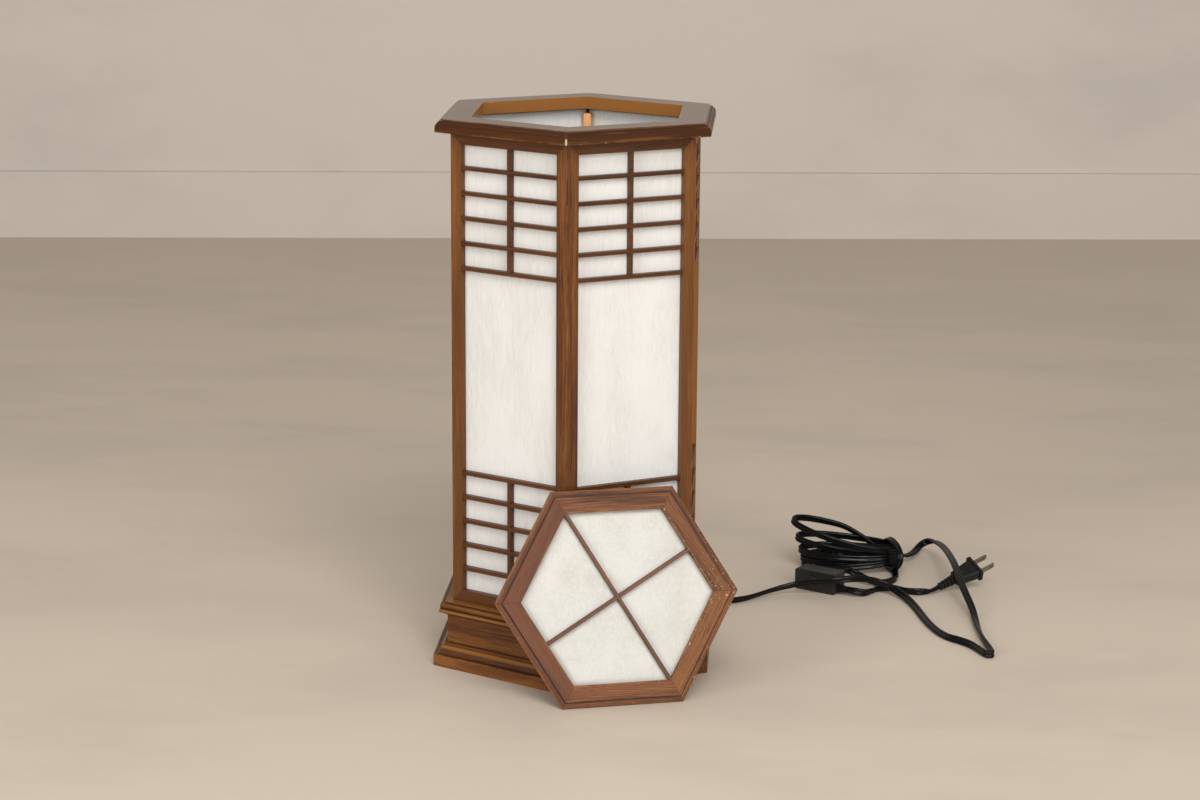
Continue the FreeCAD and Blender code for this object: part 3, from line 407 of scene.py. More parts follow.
def stained(shade, grain, stain, gold=0.8, lines=0.0, tone=0.0, spread=0.09):
    """Colour, roughness and height of stained wood with streaks along its grain.

    The grain is (along, across, depth, side) and the stain is (dark, main, light)."""
    u, v, w, side = grain
    seed = side * WOOD_SEED
    drift = shade.noise(shade.vector(u * DRIFT[0] + seed, v * DRIFT[1], w * DRIFT[1]))
    broad = shade.noise(shade.vector(u * BROAD[0] + seed, v * BROAD[1] + seed, w * BROAD[1]))
    streak = shade.noise(shade.vector(u * STREAK[0] + seed, v * STREAK[1] + drift * 6.0, w * STREAK[1]),
                         detail=3.0, roughness=0.65)
    thread = shade.noise(shade.vector(u * THREAD[0], v * THREAD[1], w * THREAD[1] + seed))
    pore = shade.noise(shade.vector(u * PORE[0], v * PORE[1], w * PORE[1] + seed), detail=1.0)
    depth = (broad * 0.35 + streak * 0.4 + thread * 0.25 + tone).ramp(0.47 - spread, 0.47 + spread)
    light = (broad * 0.3 + streak * 0.4 + thread * 0.3 + tone).ramp(0.49, 0.66)
    base = shade.mix(shade.mix(stain[0], stain[1], depth), stain[2], light * gold)
    dent = pore.ramp(0.60, 0.72) * 0.6
    if lines:
        ring = ((v + drift * 0.012) * RINGS).math("SINE").ramp(0.35, 1.0)
        dent = dent.most(ring * streak.ramp(0.35, 0.6) * lines)
    base = shade.mix(base, stain[0], dent)
    rough = 0.44 + (streak - 0.5) * 0.25 + dent * 0.12
    return base, rough, streak * 0.6 + thread * 0.4 - dent * 0.7


def chips(shade, distance, reach, rarity):
    """Chips where a distance from an edge is small and a patchy noise is high."""
    patch = shade.noise(shade.place, scale=420.0, detail=3.0, roughness=0.7)
    return (1.0 - distance.ramp(reach * 0.3, reach)) * patch.ramp(rarity, rarity + 0.04)


def rubbed_and_highlit(shade, distance, reach, scale, patches):
    """Patches along an edge, from whole at the reach's near end to none at its far end: worn stain and
    painted highlight together.
    """
    return (1.0 - distance.ramp(*reach)) * shade.noise(shade.place, scale).ramp(*patches)


def dimmed(tint, share_left):
    """A darker colour."""
    return tuple(channel * share_left for channel in tint)


def lacquer(shade, base, rough, height, looks, coat=1.0):
    """Finish a stained surface with a satin lacquer and softened edges."""
    shade.set(Base_Color=base, Roughness=rough, Specular_IOR_Level=0.14, Coat_Weight=coat * looks.gloss,
              Coat_Roughness=0.28)
    shade.relief(height, 0.3, 0.0004, edge=0.0007)
    return shade.material


def paint(material, *nodes):
    """Give CAD nodes a material."""
    for name in nodes:
        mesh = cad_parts[name].data
        mesh.materials.clear()
        mesh.materials.append(material)


class LAMP_OT_tower(bpy.types.Operator):
    """Finish the panels' stiles, rails, bars and mullions, and the corner posts"""
    bl_idname = "lamp.tower"
    bl_label = "Finish the tower"

    def execute(self, context):
        looks = context.scene.lamp_wood
        upright = self.stiles(looks)
        rails = self.level("rail_wood", looks, 0.65, 0.045)
        bars = self.level("bar_wood", looks, 0.35, 0.0)
        for panel in PANELS:
            paint(upright, panel + "_stiles")
            paint(rails, panel + "_rails")
            paint(bars, panel + "_cross_bars", panel + "_mullions")
        self.posts(looks)
        return {"FINISHED"}

    def stiles(self, looks):
        """Upright grain, with painted shade along the window and worn and highlit patches along the arris."""
        shade = Shade("stile_wood")
        tower = tower_sides(shade)
        grain = (shade.z, tower.along, tower.out, tower.side)
        base, rough, height = stained(shade, grain, (looks.dark, looks.brown, looks.gold), 0.75)
        # Painted shade on the stiles along the window's edge.
        shaded = 1.0 - (abs(tower.along) - WINDOW_HALF).ramp(0.0, 0.0035)
        base = shade.mix(base, looks.dark, shaded * 0.45)
        # Lighter towards the tower's left and right, with painted highlight on the right side's stiles where
        # the light from the right falls.
        base = shade.mix(base, looks.gold, abs(shade.x).ramp(0.06, 0.10) * 0.26)
        base = shade.mix(base, looks.gold, tower.side.near(RIGHT, 0.5) * 0.8)
        arris = SIDE_HALF - abs(tower.along)
        # Worn stain and painted highlight along the arris.
        thin = rubbed_and_highlit(shade, arris, (0.0004, 0.0016), 60.0, (0.42, 0.66))
        base = shade.mix(base, looks.gold, thin * 0.35)
        worn = chips(shade, arris, 0.0012, 0.69)
        base = shade.mix(base, looks.chip, worn)
        return lacquer(shade, base, rough + worn * 0.3, height - worn, looks)

    def level(self, name, looks, gold, tone):
        """Grain along the side, in the deeper stain."""
        shade = Shade(name)
        tower = tower_sides(shade)
        grain = (tower.along, shade.z, tower.out, tower.side)
        base, rough, height = stained(shade, grain, (looks.dark, looks.bar, looks.brown), gold, tone=tone)
        return lacquer(shade, base, rough, height, looks)

    def posts(self, looks):
        """Bare wood of the corner posts."""
        shade = Shade("post_wood")
        streak = shade.noise(shade.vector(shade.x * 420.0, shade.y * 420.0, shade.z * 12.0), detail=3.0)
        thread = shade.noise(shade.vector(shade.x * 1700.0, shade.y * 1700.0, shade.z * 60.0))
        base = shade.mix(looks.bare, looks.orange, (streak * 0.6 + thread * 0.4).ramp(0.45, 0.70) * 0.55)
        shade.set(Base_Color=base, Roughness=0.60 + (streak - 0.5) * 0.2, Specular_IOR_Level=0.3)
        shade.relief(streak * 0.5 + thread * 0.5, 0.3, 0.0004)
        paint(shade.material, "corner_posts")


class LAMP_OT_mouldings(bpy.types.Operator):
    """Finish the cap, the plinth and the base board"""
    bl_idname = "lamp.mouldings"
    bl_label = "Finish the mouldings"

    def execute(self, context):
        looks = context.scene.lamp_wood
        paint(self.cap(looks), "cap_ring")
        paint(self.plinth(looks), "plinth_mouldings")
        paint(self.board(looks), "base_board")
        return {"FINISHED"}

    def cap(self, looks):
        """Dark cap with orange inner walls, worn and highlit edges, painted highlights and painted shade on
        its mouldings, and a chipped front corner.
        """
        shade = Shade("cap_wood")
        tower = tower_sides(shade)
        grain = (tower.along, tower.out + shade.z, tower.out - shade.z, tower.side)
        base, rough, height = stained(shade, grain, (looks.dark, looks.bar, looks.brown), 0.7, lines=0.3)
        inner = 1.0 - (tower.out - CAP_INNER).ramp(0.0001, 0.0008)
        base = shade.mix(base, looks.orange, inner * 0.85)
        rim = tower.arris(CAP_TOP, LAMP_TOP)
        foot = tower.arris(CAP_BAND, CAP_FOOT)
        mouth = tower.arris(CAP_INNER, LAMP_TOP)
        edge = rim.least(foot).least(mouth).least(tower.corner() + MITRE_SPARE)
        # The cap's band darker, and darker still on the front right side as painted shade.
        band = (tower.out - CAP_TOP).ramp(0.0005, 0.0020)
        base = shade.mix(base, looks.dark, band * (0.66 + tower.side.near(FRONT_RIGHT, 0.5) * 0.22))
        # Painted highlights along the cap's fillet and foot, in patches and weaker on the front left side.
        outside = (tower.out - CAP_TOP).ramp(-0.0004, 0.0004)
        patchy = shade.noise(shade.vector(tower.along * 30.0, tower.side, shade.z * 300.0)).ramp(0.40, 0.62)
        where = outside * patchy * (1.0 - tower.side.near(FRONT_LEFT, 0.5) * 0.7)
        base = shade.mix(base, looks.gold, shade.z.near_any(CAP_HIGHLIGHTS) * where * 0.35)
        # Painted shade in the cap's grooves.
        groove = shade.z.near_any(CAP_GROOVE_SHADE) * outside
        base = shade.mix(base, looks.dark, groove)
        # Worn stain and painted highlight along the cap's edges.
        thin = rubbed_and_highlit(shade, edge, (0.0002, 0.0014), 70.0, (0.40, 0.62))
        base = shade.mix(base, looks.gold, thin * 0.6)
        front = abs(shade.x) + abs(shade.y + CAP_BAND / math.cos(SIXTH / 2.0))
        ragged = front + shade.noise(shade.place, 520.0, detail=3.0) * 0.0030
        broken = (1.0 - ragged.ramp(0.0026, 0.0032)) * shade.z.near(*CAP_CHIP)
        worn = chips(shade, edge, 0.0022, 0.67).most(broken.ramp(0.1, 0.3) * 0.8)
        base = shade.mix(base, looks.chip, worn)
        rough = rough - 0.12 + worn * 0.3 + groove * 0.2
        return lacquer(shade, base, rough, height - worn - groove, looks, 3.0 - band * 2.6)

    def plinth(self, looks):
        """Golden-brown plinth with painted shade in its grooves, painted highlights on its rounds and ledge,
        a redder base band and worn and highlit edges.
        """
        shade = Shade("plinth_wood")
        tower = tower_sides(shade)
        grain = (tower.along, shade.z, tower.out, tower.side)
        base, rough, height = stained(shade, grain, (looks.dark, looks.brown, looks.gold), 0.75, lines=0.5,
                                      tone=0.02)
        band = 1.0 - shade.z.ramp(PLINTH_BAND_TOP - 0.0006, PLINTH_BAND_TOP)
        flame = shade.noise(shade.vector(tower.along * 16.0 + tower.side, shade.z * 60.0, tower.side))
        base = shade.mix(base, looks.lid_red, band * 0.25)
        # Painted highlight towards the plinth's top, where the ledge faces up.
        base = shade.mix(base, looks.gold, shade.z.ramp(LEDGE_FOOT, TOWER_FOOT) * 0.6)
        base = shade.mix(base, looks.orange, band * flame.ramp(0.48, 0.66) * 0.5)
        # Painted highlights on the crowns of the ogee and the bead.
        base = shade.mix(base, looks.gold, shade.z.near_any(PLINTH_HIGHLIGHTS) * 0.9)
        # Painted shade in the grooves and along the steps.
        groove = shade.z.near_any(PLINTH_GROOVE_SHADE)
        base = shade.mix(base, looks.dark, groove * 0.75)
        base = shade.mix(base, looks.dark, shade.z.near_any(PLINTH_LINE_SHADE) * 0.6)
        rim = tower.arris(PLINTH_BAND, PLINTH_BAND_TOP)
        bead = tower.arris(PLINTH_BEAD, PLINTH_BEAD_HEIGHT)
        edge = rim.least(bead).least(tower.corner() + MITRE_SPARE)
        # Worn stain and painted highlight along the plinth's edges.
        thin = rubbed_and_highlit(shade, edge, (0.0003, 0.0020), 60.0, (0.40, 0.62))
        base = shade.mix(base, looks.gold, thin * 0.7)
        worn = chips(shade, edge, 0.0020, 0.68)
        base = shade.mix(base, looks.chip, worn)
        return lacquer(shade, base, rough + worn * 0.3 + groove * 0.2, height - worn, looks)

    def board(self, looks):
        """Bare wood of the base board."""
        shade = Shade("board_wood")
        streak = shade.noise(shade.vector(shade.x * 14.0, shade.y * 220.0, shade.z * 220.0), detail=4.0)
        base = shade.mix(looks.board, looks.brown, streak.ramp(0.5, 0.85) * 0.5)
        shade.set(Base_Color=base, Roughness=0.7 + (streak - 0.5) * 0.2, Specular_IOR_Level=0.3)
        shade.relief(streak, 0.3, 0.0004)
        return shade.material


class LAMP_OT_lid(bpy.types.Operator):
    """Finish the lid's frame and bars"""
    bl_idname = "lamp.lid"
    bl_label = "Finish the lid"

    def execute(self, context):
        looks = context.scene.lamp_wood
        stain = (looks.lid_dark, looks.lid_red, looks.lid_light)
        paint(self.members(looks, stain), "lid_frame")
        for node, turn in (("lid_corner_bar", 2.0 * SIXTH), ("lid_side_bar", SIXTH / 2.0)):
            paint(self.bar(node + "_wood", turn, looks, stain), node)
        return {"FINISHED"}

    def members(self, looks, stain):
        """Reddish frame whose members differ, with painted shade in its step, a painted highlight along its
        outer edge, worn and highlit edges and pale chips.
        """
        shade = Shade("lid_wood")
        lid = lid_sides(shade)
        grain = (lid.along, lid.out, lid.height, lid.side + LID_SEED)
        base, rough, height = stained(shade, grain, stain, 0.8, lines=0.85, spread=0.055)
        depth = height.ramp(0.25, 0.55)
        base = shade.mix(base, looks.gold, lid.side.near(LID_LOW_RIGHT, 0.6) * depth * 0.5)
        left = lid.side.near(LID_LEFT, 1.0).ramp(0.2, 0.5)
        base = shade.mix(base, looks.plum, left * (0.25 + depth * 0.4))
        # Painted highlight along the frame's outer edge.
        base = shade.mix(base, looks.lid_light, (lid.out - LID_EDGE).ramp(-0.0016, -0.0003) * 0.6)
        mitre = 1.0 - lid.corner().ramp(0.0001, 0.0006)
        base = shade.mix(base, looks.dark, mitre * 0.5)
        edge = abs(lid.out - LID_EDGE).least(abs(lid.out - LID_WINDOW))
        # Worn stain and painted highlight along the lid's edges.
        thin = rubbed_and_highlit(shade, edge, (0.0003, 0.0018), 75.0, (0.42, 0.62))
        base = shade.mix(base, looks.lid_light, thin * 0.6)
        # Painted shade in the step of the frame's profile, in patches.
        step = lid.out.near(LID_STEP, 0.0013).ramp(0.1, 0.7)
        faded = shade.noise(shade.place, 90.0).ramp(0.35, 0.6)
        base = shade.mix(base, looks.dark, step * (0.55 + faded * 0.4))
        right = lid.side.near(LID_RIGHT, 1.6).ramp(0.0, 0.4)
        worn = chips(shade, edge, 0.0034, 0.625) * (right * 0.8 + 0.2)
        bruised = 1.0 - shade.distance(LID_CENTRE + LID_ALONG * LID_EDGE).ramp(0.004, 0.050)
        worn = worn.most(shade.noise(shade.place, 480.0).ramp(0.66, 0.69) * bruised * 0.8)
        base = shade.mix(base, looks.chip, worn)
        return lacquer(shade, base, rough + worn * 0.3, height - worn, looks, 0.4)

    def bar(self, name, turn, looks, stain):
        """A thin bar with its grain along it, in a slightly darker stain and with painted shade along its
        flanks.
        """
        shade = Shade(name)
        here = shade.along(LID_ALONG * math.cos(turn) + LID_UP * math.sin(turn), LID_CENTRE)
        across = shade.along(LID_UP * math.cos(turn) - LID_ALONG * math.sin(turn), LID_CENTRE)
        depth = shade.along(LID_OUT, LID_CENTRE)
        base, rough, height = stained(shade, (here, across, depth, 2.0), stain, 0.6)
        # Painted shade along the bar's flanks, over a slightly darker stain.
        base = shade.mix(base, looks.lid_dark, abs(across).ramp(0.0008, 0.0016) * 0.7 + 0.15)
        return lacquer(shade, base, rough, height, looks)


class LAMP_OT_paper(bpy.types.Operator):
    """Finish the paper of the panels and of the lid"""
    bl_idname = "lamp.paper"
    bl_label = "Finish the paper"

    def execute(self, context):
        looks = context.scene.lamp_paper
        panel = Shade("panel_paper")
        tower = tower_sides(panel)
        spot = (tower.along, panel.z, tower.side * PAPER_SEED)
        rim = WINDOW_HALF + 0.0030 - abs(tower.along)
        self.sheet(panel, spot, (looks.fibre, looks.sheet), looks.glow, PANEL_STRETCH, rim)
        paint(panel.material, *[name + "_paper" for name in PANELS])
        cover = Shade("lid_paper")
        spot = (cover.along(LID_ALONG, LID_CENTRE), cover.along(LID_UP, LID_CENTRE), 0.0)
        rim = LID_WINDOW - lid_sides(cover).out
        # The lid's paper gets its darker colours, which are painted shade.
        self.sheet(cover, spot, (looks.lid_shaded_fibre, looks.lid_shaded_sheet), looks.glow, LID_STRETCH, rim)
        paint(cover.material, "lid_paper")
        return {"FINISHED"}

    def sheet(self, shade, spot, tints, glow, stretch, rim):
        """Fibrous paper that lets some light through, with fibres along its second way and a rim darkened by
        dust and painted shade.
        """
        u, v, seed = spot
        warp = shade.noise(shade.vector(u * 45.0, v * 25.0, seed)) - 0.5
        fibre = shade.noise(shade.vector(u * FIBRE + warp * 5.0, v * FIBRE / stretch ** 2, seed), detail=3.0,
                            roughness=0.65)
        strand = shade.noise(shade.vector(u * STRAND + warp * 3.0, v * STRAND / stretch ** 2, seed + 4.0))
        lines = shade.noise(shade.vector(u * HAIR + warp * 3.0, v * HAIR / stretch ** 1.6, seed + 7.0),
                            detail=1.0)
        hair = abs(lines - 0.5).ramp(0.0, 0.02)
        cloud = shade.noise(shade.vector(u * CLOUD, v * CLOUD / stretch, seed + 9.0), detail=3.0)
        pale = (fibre * 0.45 + strand * 0.20 + cloud * 0.35).ramp(0.36, 0.58)
        base = shade.mix(tints[0], tints[1], pale * 0.88 + hair * 0.12)
        # Dust and painted shade near the frame.
        dust = (1.0 - rim.ramp(0.0, 0.0055)) * (0.25 + cloud.ramp(0.3, 0.7) * 0.5)
        base = shade.mix(base, dimmed(tints[0], 0.72), dust)
        shade.set(Base_Color=base, Roughness=0.85, Specular_IOR_Level=0.2)
        shade.relief(fibre * 0.5 + strand * 0.5, 0.18, 0.0003)
        through = shade.node("ShaderNodeBsdfTranslucent", {"Color": tints[1]})
        surface = Wire(shade, shade.body.outputs[0])
        blend = shade.node("ShaderNodeMixShader", (glow, surface, through))
        shade.feed(shade.out.inputs[0], blend)


class LAMP_OT_fittings(bpy.types.Operator):
    """Finish the lampholder, the bulb, the screws, the bushing and the inner lead"""
    bl_idname = "lamp.fittings"
    bl_label = "Finish the fittings"

    def execute(self, context):
        cord = context.scene.lamp_cord
        paint(metal("zinc_plate", (0.56, 0.57, 0.57), 0.35), "board_screws", "holder_screws")
        paint(metal("holder_brass", (0.72, 0.52, 0.22), 0.30), "holder_shell", "holder_contact")
        paint(metal("bulb_metal", (0.70, 0.70, 0.69), 0.28), "bulb_cap", "bulb_contact")
        paint(glazed("porcelain_glaze", (0.84, 0.83, 0.79)), "holder_body")
        paint(glazed("frosted_glass", (0.88, 0.88, 0.86)), "bulb_glass")
        paint(moulded("bushing_rubber", cord.moulded, 0.60), "cord_bushing", "inner_lead")
        return {"FINISHED"}


def metal(name, tint, rough):
    """Plated metal with fine scratches and a dull film."""
    shade = Shade(name)
    scratch = shade.noise(shade.vector(shade.x * 300.0, shade.y * 2500.0, shade.z * 2500.0))
    film = shade.noise(shade.place, scale=160.0, detail=3.0)
    shade.set(Base_Color=shade.mix(tint, dimmed(tint, 0.55), film.ramp(0.45, 0.75)), Metallic=1.0,
              Roughness=rough + (film - 0.5) * 0.3 + (scratch - 0.5) * 0.15)
    shade.relief(scratch, 0.15, 0.0001, edge=0.0003)
    return shade.material


def glazed(name, tint):
    """A pale glazed or frosted surface with faint clouds."""
    shade = Shade(name)
    cloud = shade.noise(shade.place, scale=70.0, detail=3.0)
    base = shade.mix(tint, dimmed(tint, 0.86), cloud.ramp(0.4, 0.8))
    shade.set(Base_Color=base, Roughness=0.22 + cloud * 0.12)
    shade.relief(cloud, 0.05, 0.0003)
    return shade.material


def moulded(name, tint, rough, sheen=0.36):
    """Dark moulded plastic or rubber: fine grain, scuffs and a little dust."""
    shade = Shade(name)
    grain = shade.noise(shade.place, scale=2600.0)
    scuff = shade.noise(shade.place, scale=210.0, detail=4.0, roughness=0.7)
    dust = shade.noise(shade.place, scale=900.0).ramp(0.66, 0.80)
    pale = tuple(channel * 1.8 + 0.005 for channel in tint)
    base = shade.mix(shade.mix(tint, pale, scuff.ramp(0.5, 0.85) * 0.5), (0.16, 0.15, 0.135), dust * 0.18)
    shade.set(Base_Color=base, Roughness=rough + (scuff - 0.5) * 0.25 + dust * 0.2, Specular_IOR_Level=sheen)
    shade.relief(grain * 0.6 + scuff * 0.4, 0.2, 0.0002, edge=0.0004)
    return shade.material


class LAMP_OT_switch(bpy.types.Operator):
    """Finish the switch and the plug"""
    bl_idname = "lamp.switch"
    bl_label = "Finish the switch and the plug"

    def execute(self, context):
        cord = context.scene.lamp_cord
        paint(moulded("switch_plastic", cord.moulded, 0.40), "switch_cover", "switch_base")
        paint(moulded("button_plastic", cord.moulded, 0.32), "switch_button")
        plug = moulded("plug_rubber", cord.rubber, 0.42, 0.2)
        paint(plug, "plug_body", "plug_relief", "switch_reliefs")
        paint(metal("blade_metal", cord.blade, 0.36), "plug_blades")
        return {"FINISHED"}


def loop_point(turn):
    """The hank's loops: from the tied end they nest in twos, and they fan out at the free end."""
    angle = 2.0 * math.pi * turn
    spread = (1.0 - math.cos(angle)) / 2.0
    nest = LOOP_NEST * (1.0 + math.cos(math.pi * turn)) / 2.0
    growth = (turn / HANK_TURNS) ** 2
    reach = LOOP_LENGTH + nest + growth * LOOP_REACH * spread
    width = LOOP_WIDTH + nest + growth * LOOP_WIDENING
    pitch = TIED_PITCH + (FREE_PITCH - TIED_PITCH) * spread ** 1.5
    height = LOOP_REST + LOOP_LIFT * (1.0 - spread)
    height += pitch * (turn - spread / 2.0) + LOOP_RISE * growth ** 2 * spread
    return (HANK_CENTRE[0] + reach * math.cos(angle), HANK_CENTRE[1] - width * math.sin(angle), height)


def tie_point(turn):
    """The cord's own turns round the tied end of the hank."""
    angle = 2.0 * math.pi * turn
    along = TIE_PLACE + TIE_DRIFT * turn - TIE_SLANT * math.cos(angle) * math.sin(math.pi * turn / TIE_TURNS)
    return (HANK_CENTRE[0] + along, HANK_CENTRE[1] + TIE_WIDTH * math.cos(angle),
            LOOP_REST + TIE_HEIGHT * (1.0 - math.sin(angle)))


def hank_points():
    """Points along the loops and the tie."""
    loops = [loop_point(step / TURN_STEPS) for step in range(int(HANK_TURNS * TURN_STEPS) + 1)]
    ties = [tie_point(step / TURN_STEPS) for step in range(1, int(TIE_TURNS * TURN_STEPS) + 1)]
    return loops + ties


def route_points(points):
    """Points close together on the smooth curve that a route's points steer, in metres."""
    curve = bpy.data.curves.new("route", "CURVE")
    curve.dimensions = "3D"
    curve.resolution_u = ROUTE_STEPS
    spline = curve.splines.new("NURBS")
    spline.points.add(len(points) - 1)
    for control, point in zip(spline.points, points):
        control.co = (point[0] * MM, point[1] * MM, point[2] * MM, 1.0)
    spline.order_u = ROUTE_ORDER
    spline.use_endpoint_u = True
    holder = bpy.data.objects.new("route", curve)
    bpy.context.collection.objects.link(holder)
    bpy.context.view_layer.update()
    mesh = bpy.data.meshes.new_from_object(holder)
    found = [vertex.co.copy() for vertex in mesh.vertices]
    bpy.data.objects.remove(holder)
    bpy.data.curves.remove(curve)
    bpy.data.meshes.remove(mesh)
    return found


def twin_section(width, thickness):
    """Outline of a flat twin cord: two round lobes with a groove between them."""
    lobe = thickness / 2.0
    offset = width / 2.0 - lobe
    right = []
    for step in range(LOBE_STEPS + 1):
        angle = -math.pi + LOBE_START + (2.0 * math.pi - 2.0 * LOBE_START) * step / LOBE_STEPS
        right.append((offset + lobe * math.cos(angle), lobe * math.sin(angle)))
    left = [(-across, -rise) for across, rise in right]
    return right + left


def headings(path):
    """The direction of a path at each of its points."""
    last = len(path) - 1
    return [(path[min(index + 1, last)] - path[max(index - 1, 0)]).normalized() for index in range(last + 1)]


def wide_ways(path, ahead):
    """The way that a flat cord's wide side takes.

    It lies level on the floor, follows the axis of each bend and stands on its edge about the fold."""
    up = Vector((0.0, 0.0, 1.0))
    hank = Vector(HANK_CENTRE) * MM
    last = len(path) - 1
    found = []
    for index, here in enumerate(ahead):
        low, high = max(index - BEND_POINTS, 0), min(index + BEND_POINTS, last)
        bend = ahead[low].cross(ahead[high]) / (path[high] - path[low]).length
        stand = max(0.0, 1.0 - (path[index] - FOLD).length / FOLD_REACH)
        flat = HANK_LEVEL if (path[index].xy - hank).length < HANK_REACH else OPEN_LEVEL
        level = here.cross(up) * (1.0 - stand) * flat
        held = found[-1] if found else level.normalized()
        pull = Vector()
        for way in (bend * bend.length / BEND_EASE, level, up * stand * STAND_PULL):
            pull += way if way.dot(held) >= 0.0 else -way
        found.append((held * HOLD + pull).normalized())
    for _ in range(SMOOTHINGS):
        found = [(found[max(index - 1, 0)] + way + found[min(index + 1, last)]).normalized()
                 for index, way in enumerate(found)]
    return [(way - here * way.dot(here)).normalized() for way, here in zip(found, ahead)]


def flat_cord(name, path, section, material):
    """A flat cord swept along a path and kept above the floor."""
    half_width = max(across for across, rise in section)
    half_thickness = max(rise for across, rise in section)
    ahead = headings(path)
    rings = []
    centres = []
    for point, here, wide in zip(path, ahead, wide_ways(path, ahead)):
        thin = here.cross(wide)
        need = math.hypot(wide.z * half_width, thin.z * half_thickness) + FLOOR_GAP
        centre = Vector((point.x, point.y, max(point.z, need)))
        centres.append(centre)
        rings.append([centre + wide * across + thin * rise for across, rise in section])
    return ring_mesh(name, rings, material), centres


def ring_mesh(name, rings, material):
    """A closed tube through rings of points."""
    count = len(rings[0])
    vertices = [point for ring in rings for point in ring]
    faces = []
    for index in range(len(rings) - 1):
        low, high = index * count, (index + 1) * count
        for step in range(count):
            after = (step + 1) % count
            faces.append((low + step, low + after, high + after, high + step))
    faces.append(tuple(reversed(range(count))))
    faces.append(tuple(range(len(vertices) - count, len(vertices))))
    made = mesh_object(name, vertices, faces, material)
    made.data.shade_smooth()
    return made


def mesh_object(name, vertices, faces, material):
    """A new object with a mesh and a material of its own."""
    mesh = bpy.data.meshes.new(name)
    mesh.from_pydata(vertices, [], faces)
    mesh.materials.append(material)
    made = bpy.data.objects.new(name, mesh)
    bpy.context.collection.objects.link(made)
    return made


def path_length(points):
    """Length of a line of points."""
    return sum((after - before).length for before, after in zip(points, points[1:]))


class LAMP_OT_cord(bpy.types.Operator):
    """Lay the flat cord, its hank and the lead to the plug"""
    bl_idname = "lamp.cord"
    bl_label = "Lay the cord"

    def execute(self, context):
        looks = context.scene.lamp_cord
        section = twin_section(looks.width, looks.thickness)
        skin = self.skin(looks)
        mains = list(RUN) + hank_points() + list(LINK)
        lead, lead_path = flat_cord("mains_lead", route_points(mains), section, skin)
        tail, tail_path = flat_cord("plug_lead", route_points(TAIL), section, skin)
        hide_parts("cord_run", "cord_hank", "cord_link")
        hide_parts("cord_tail")
        for piece in (lead, tail):
            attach(piece, "tower")
        path_length(lead_path)
        path_length(tail_path)
        return {"FINISHED"}

    def skin(self, looks):
        """Glossy black skin with faint scuffs."""
        shade = Shade("cord_skin")
        scuff = shade.noise(shade.place, scale=260.0, detail=4.0, roughness=0.7)
        dust = shade.noise(shade.place, scale=1100.0).ramp(0.68, 0.82)
        base = shade.mix(looks.skin, (0.05, 0.048, 0.045), scuff.ramp(0.55, 0.9) * 0.2 + dust * 0.12)
        shade.set(Base_Color=base, Roughness=0.5 + (scuff - 0.5) * 0.2 + dust * 0.1, Specular_IOR_Level=0.0,
                  Coat_Weight=0.42 + (scuff - 0.5) * 0.4 - dust * 0.2, Coat_Roughness=0.13)
        shade.relief(scuff, 0.03, 0.0001)
        return shade.material


class LAMP_OT_stage(bpy.types.Operator):
    """Set up the floor, the wall, the lights and the camera"""
    bl_idname = "lamp.stage"
    bl_label = "Set up the stage"

    def execute(self, context):
        looks = context.scene.lamp_stage
        self.camera(context)
        self.room(looks)
        self.lights(context, looks)
        context.scene.view_settings.view_transform = "Standard"
        return {"FINISHED"}

    def camera(self, context):
        """The camera at the photo's place and lens."""
        data = bpy.data.cameras.new("camera")
        data.lens = CAMERA_LENS
        data.sensor_width = CAMERA_SENSOR
        data.clip_end = CAMERA_REACH
        camera = bpy.data.objects.new("camera", data)
        turn = Matrix((CAMERA_RIGHT, CAMERA_UP, CAMERA_BACK)).transposed().to_4x4()
        camera.matrix_world = Matrix.Translation(CAMERA_PLACE) @ turn
        context.collection.objects.link(camera)
        context.scene.camera = camera

    def room(self, looks):
        """A pale floor and a pale wall with a low skirting, square to the camera and open from behind."""
        # The floor darkens towards the back as painted shade.
        floor = slab("floor", (-ROOM_SIDE, -FLOOR_END, -FLOOR_THICK), (ROOM_SIDE, FLOOR_END, 0.0),
                     plaster("floor", looks.floor, 0.55, 0.9))
        wall_paint = plaster("wall", looks.wall, 0.7, one_sided=True)
        wall = slab("wall", (-ROOM_SIDE, WALL_FACE, 0.0), (ROOM_SIDE, WALL_BACK, WALL_HEIGHT), wall_paint,
                    FRONT)
        skirting = slab("skirting", (-ROOM_SIDE, SKIRTING_FACE, 0.0), (ROOM_SIDE, WALL_FACE, SKIRTING_HEIGHT),
                        wall_paint, FRONT)
        for piece in (wall, skirting):
            piece.matrix_world = Matrix.Rotation(math.radians(WALL_TURN), 4, "Z")

    def lights(self, context, looks):
        """Three large soft lights and a pale sky."""
        for name, (place, size) in LIGHTS.items():
            soft_light(name, place, getattr(looks, name), size)
        world = bpy.data.worlds.new("studio")
        world.use_nodes = True
        backdrop = world.node_tree.nodes["Background"]
        backdrop.inputs["Color"].default_value = SKY_TINT
        backdrop.inputs["Strength"].default_value = looks.sky
        context.scene.world = world


def slab(name, low, high, material, faces=ALL_ROUND):
    """A box between two corners, or only its front and its top."""
    corners = [(x, y, z) for x in (low[0], high[0]) for y in (low[1], high[1]) for z in (low[2], high[2])]
    return mesh_object(name, corners, faces, material)


def plaster(name, tint, rough, painted_falloff=0.0, one_sided=False):
    """A plain pale surface with faint clouds, which may darken towards the back as painted shade or be clear
    from behind.
    """
    shade = Shade(name)
    cloud = shade.noise(shade.vector(shade.x * 1.6, shade.y * 3.4, shade.z * 3.4), detail=6.0, roughness=0.62)
    # Clouds, and painted shade that darkens the surface towards the back.
    shaded = cloud.ramp(0.42, 0.68) * 0.7 + shade.y.ramp(0.3, 2.4) * painted_falloff
    base = shade.mix(tint, dimmed(tint, 0.86), shaded)
    shade.set(Base_Color=base, Roughness=rough)
    if one_sided:
        shade.set(Alpha=1.0 - shade.node("ShaderNodeNewGeometry", (), result="Backfacing"))
    return shade.material


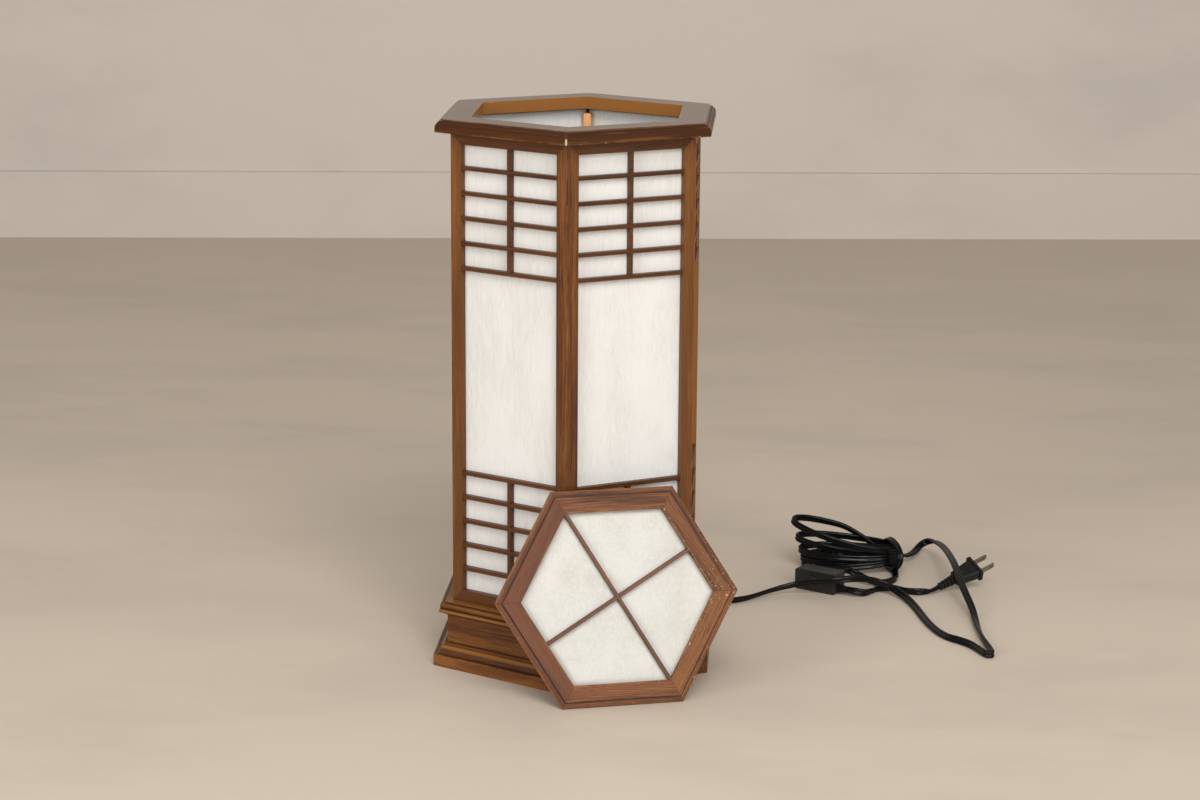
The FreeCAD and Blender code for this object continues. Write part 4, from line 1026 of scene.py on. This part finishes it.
def soft_light(name, place, watts, size):
    """A square soft light that looks at the lamp."""
    data = bpy.data.lights.new(name, "AREA")
    data.energy = watts
    data.size = size
    data.color = LIGHT_TINT
    light = bpy.data.objects.new(name, data)
    light.location = place
    light.visible_camera = False
    aim = LIGHT_AIM - Vector(place)
    light.rotation_euler = aim.to_track_quat("-Z", "Y").to_euler()
    bpy.context.collection.objects.link(light)


STEPS = (LAMP_OT_stage, LAMP_OT_cord, LAMP_OT_tower, LAMP_OT_mouldings, LAMP_OT_lid, LAMP_OT_paper,
         LAMP_OT_fittings, LAMP_OT_switch)
GROUPS = {"lamp_wood": WoodLooks, "lamp_paper": PaperLooks, "lamp_cord": CordLooks, "lamp_stage": StageLooks}


class LAMP_PT_panel(bpy.types.Panel):
    """Looks of the lamp in the sidebar"""
    bl_idname = "LAMP_PT_panel"
    bl_label = "Rice paper lamp"
    bl_space_type = "VIEW_3D"
    bl_region_type = "UI"
    bl_category = "Lamp"

    def draw(self, context):
        for name in GROUPS:
            group = getattr(context.scene, name)
            box = self.layout.box()
            for key in group.bl_rna.properties.keys():
                if key not in ("rna_type", "name"):
                    box.prop(group, key)
        for step in STEPS:
            self.layout.operator(step.bl_idname)


def register():
    """Register the property groups, the operators and the panel."""
    for name, group in GROUPS.items():
        bpy.utils.register_class(group)
        setattr(bpy.types.Scene, name, bpy.props.PointerProperty(type=group))
    for step in STEPS:
        bpy.utils.register_class(step)
    bpy.utils.register_class(LAMP_PT_panel)


def unregister():
    """Undo register."""
    bpy.utils.unregister_class(LAMP_PT_panel)
    for step in reversed(STEPS):
        bpy.utils.unregister_class(step)
    for name, group in GROUPS.items():
        delattr(bpy.types.Scene, name)
        bpy.utils.unregister_class(group)


def main():
    """Finish the lamp step by step."""
    register()
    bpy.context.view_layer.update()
    bpy.ops.lamp.stage()
    bpy.ops.lamp.cord()
    bpy.ops.lamp.tower()
    bpy.ops.lamp.mouldings()
    bpy.ops.lamp.lid()
    bpy.ops.lamp.paper()
    bpy.ops.lamp.fittings()
    bpy.ops.lamp.switch()


if __name__ == "__main__":
    main()
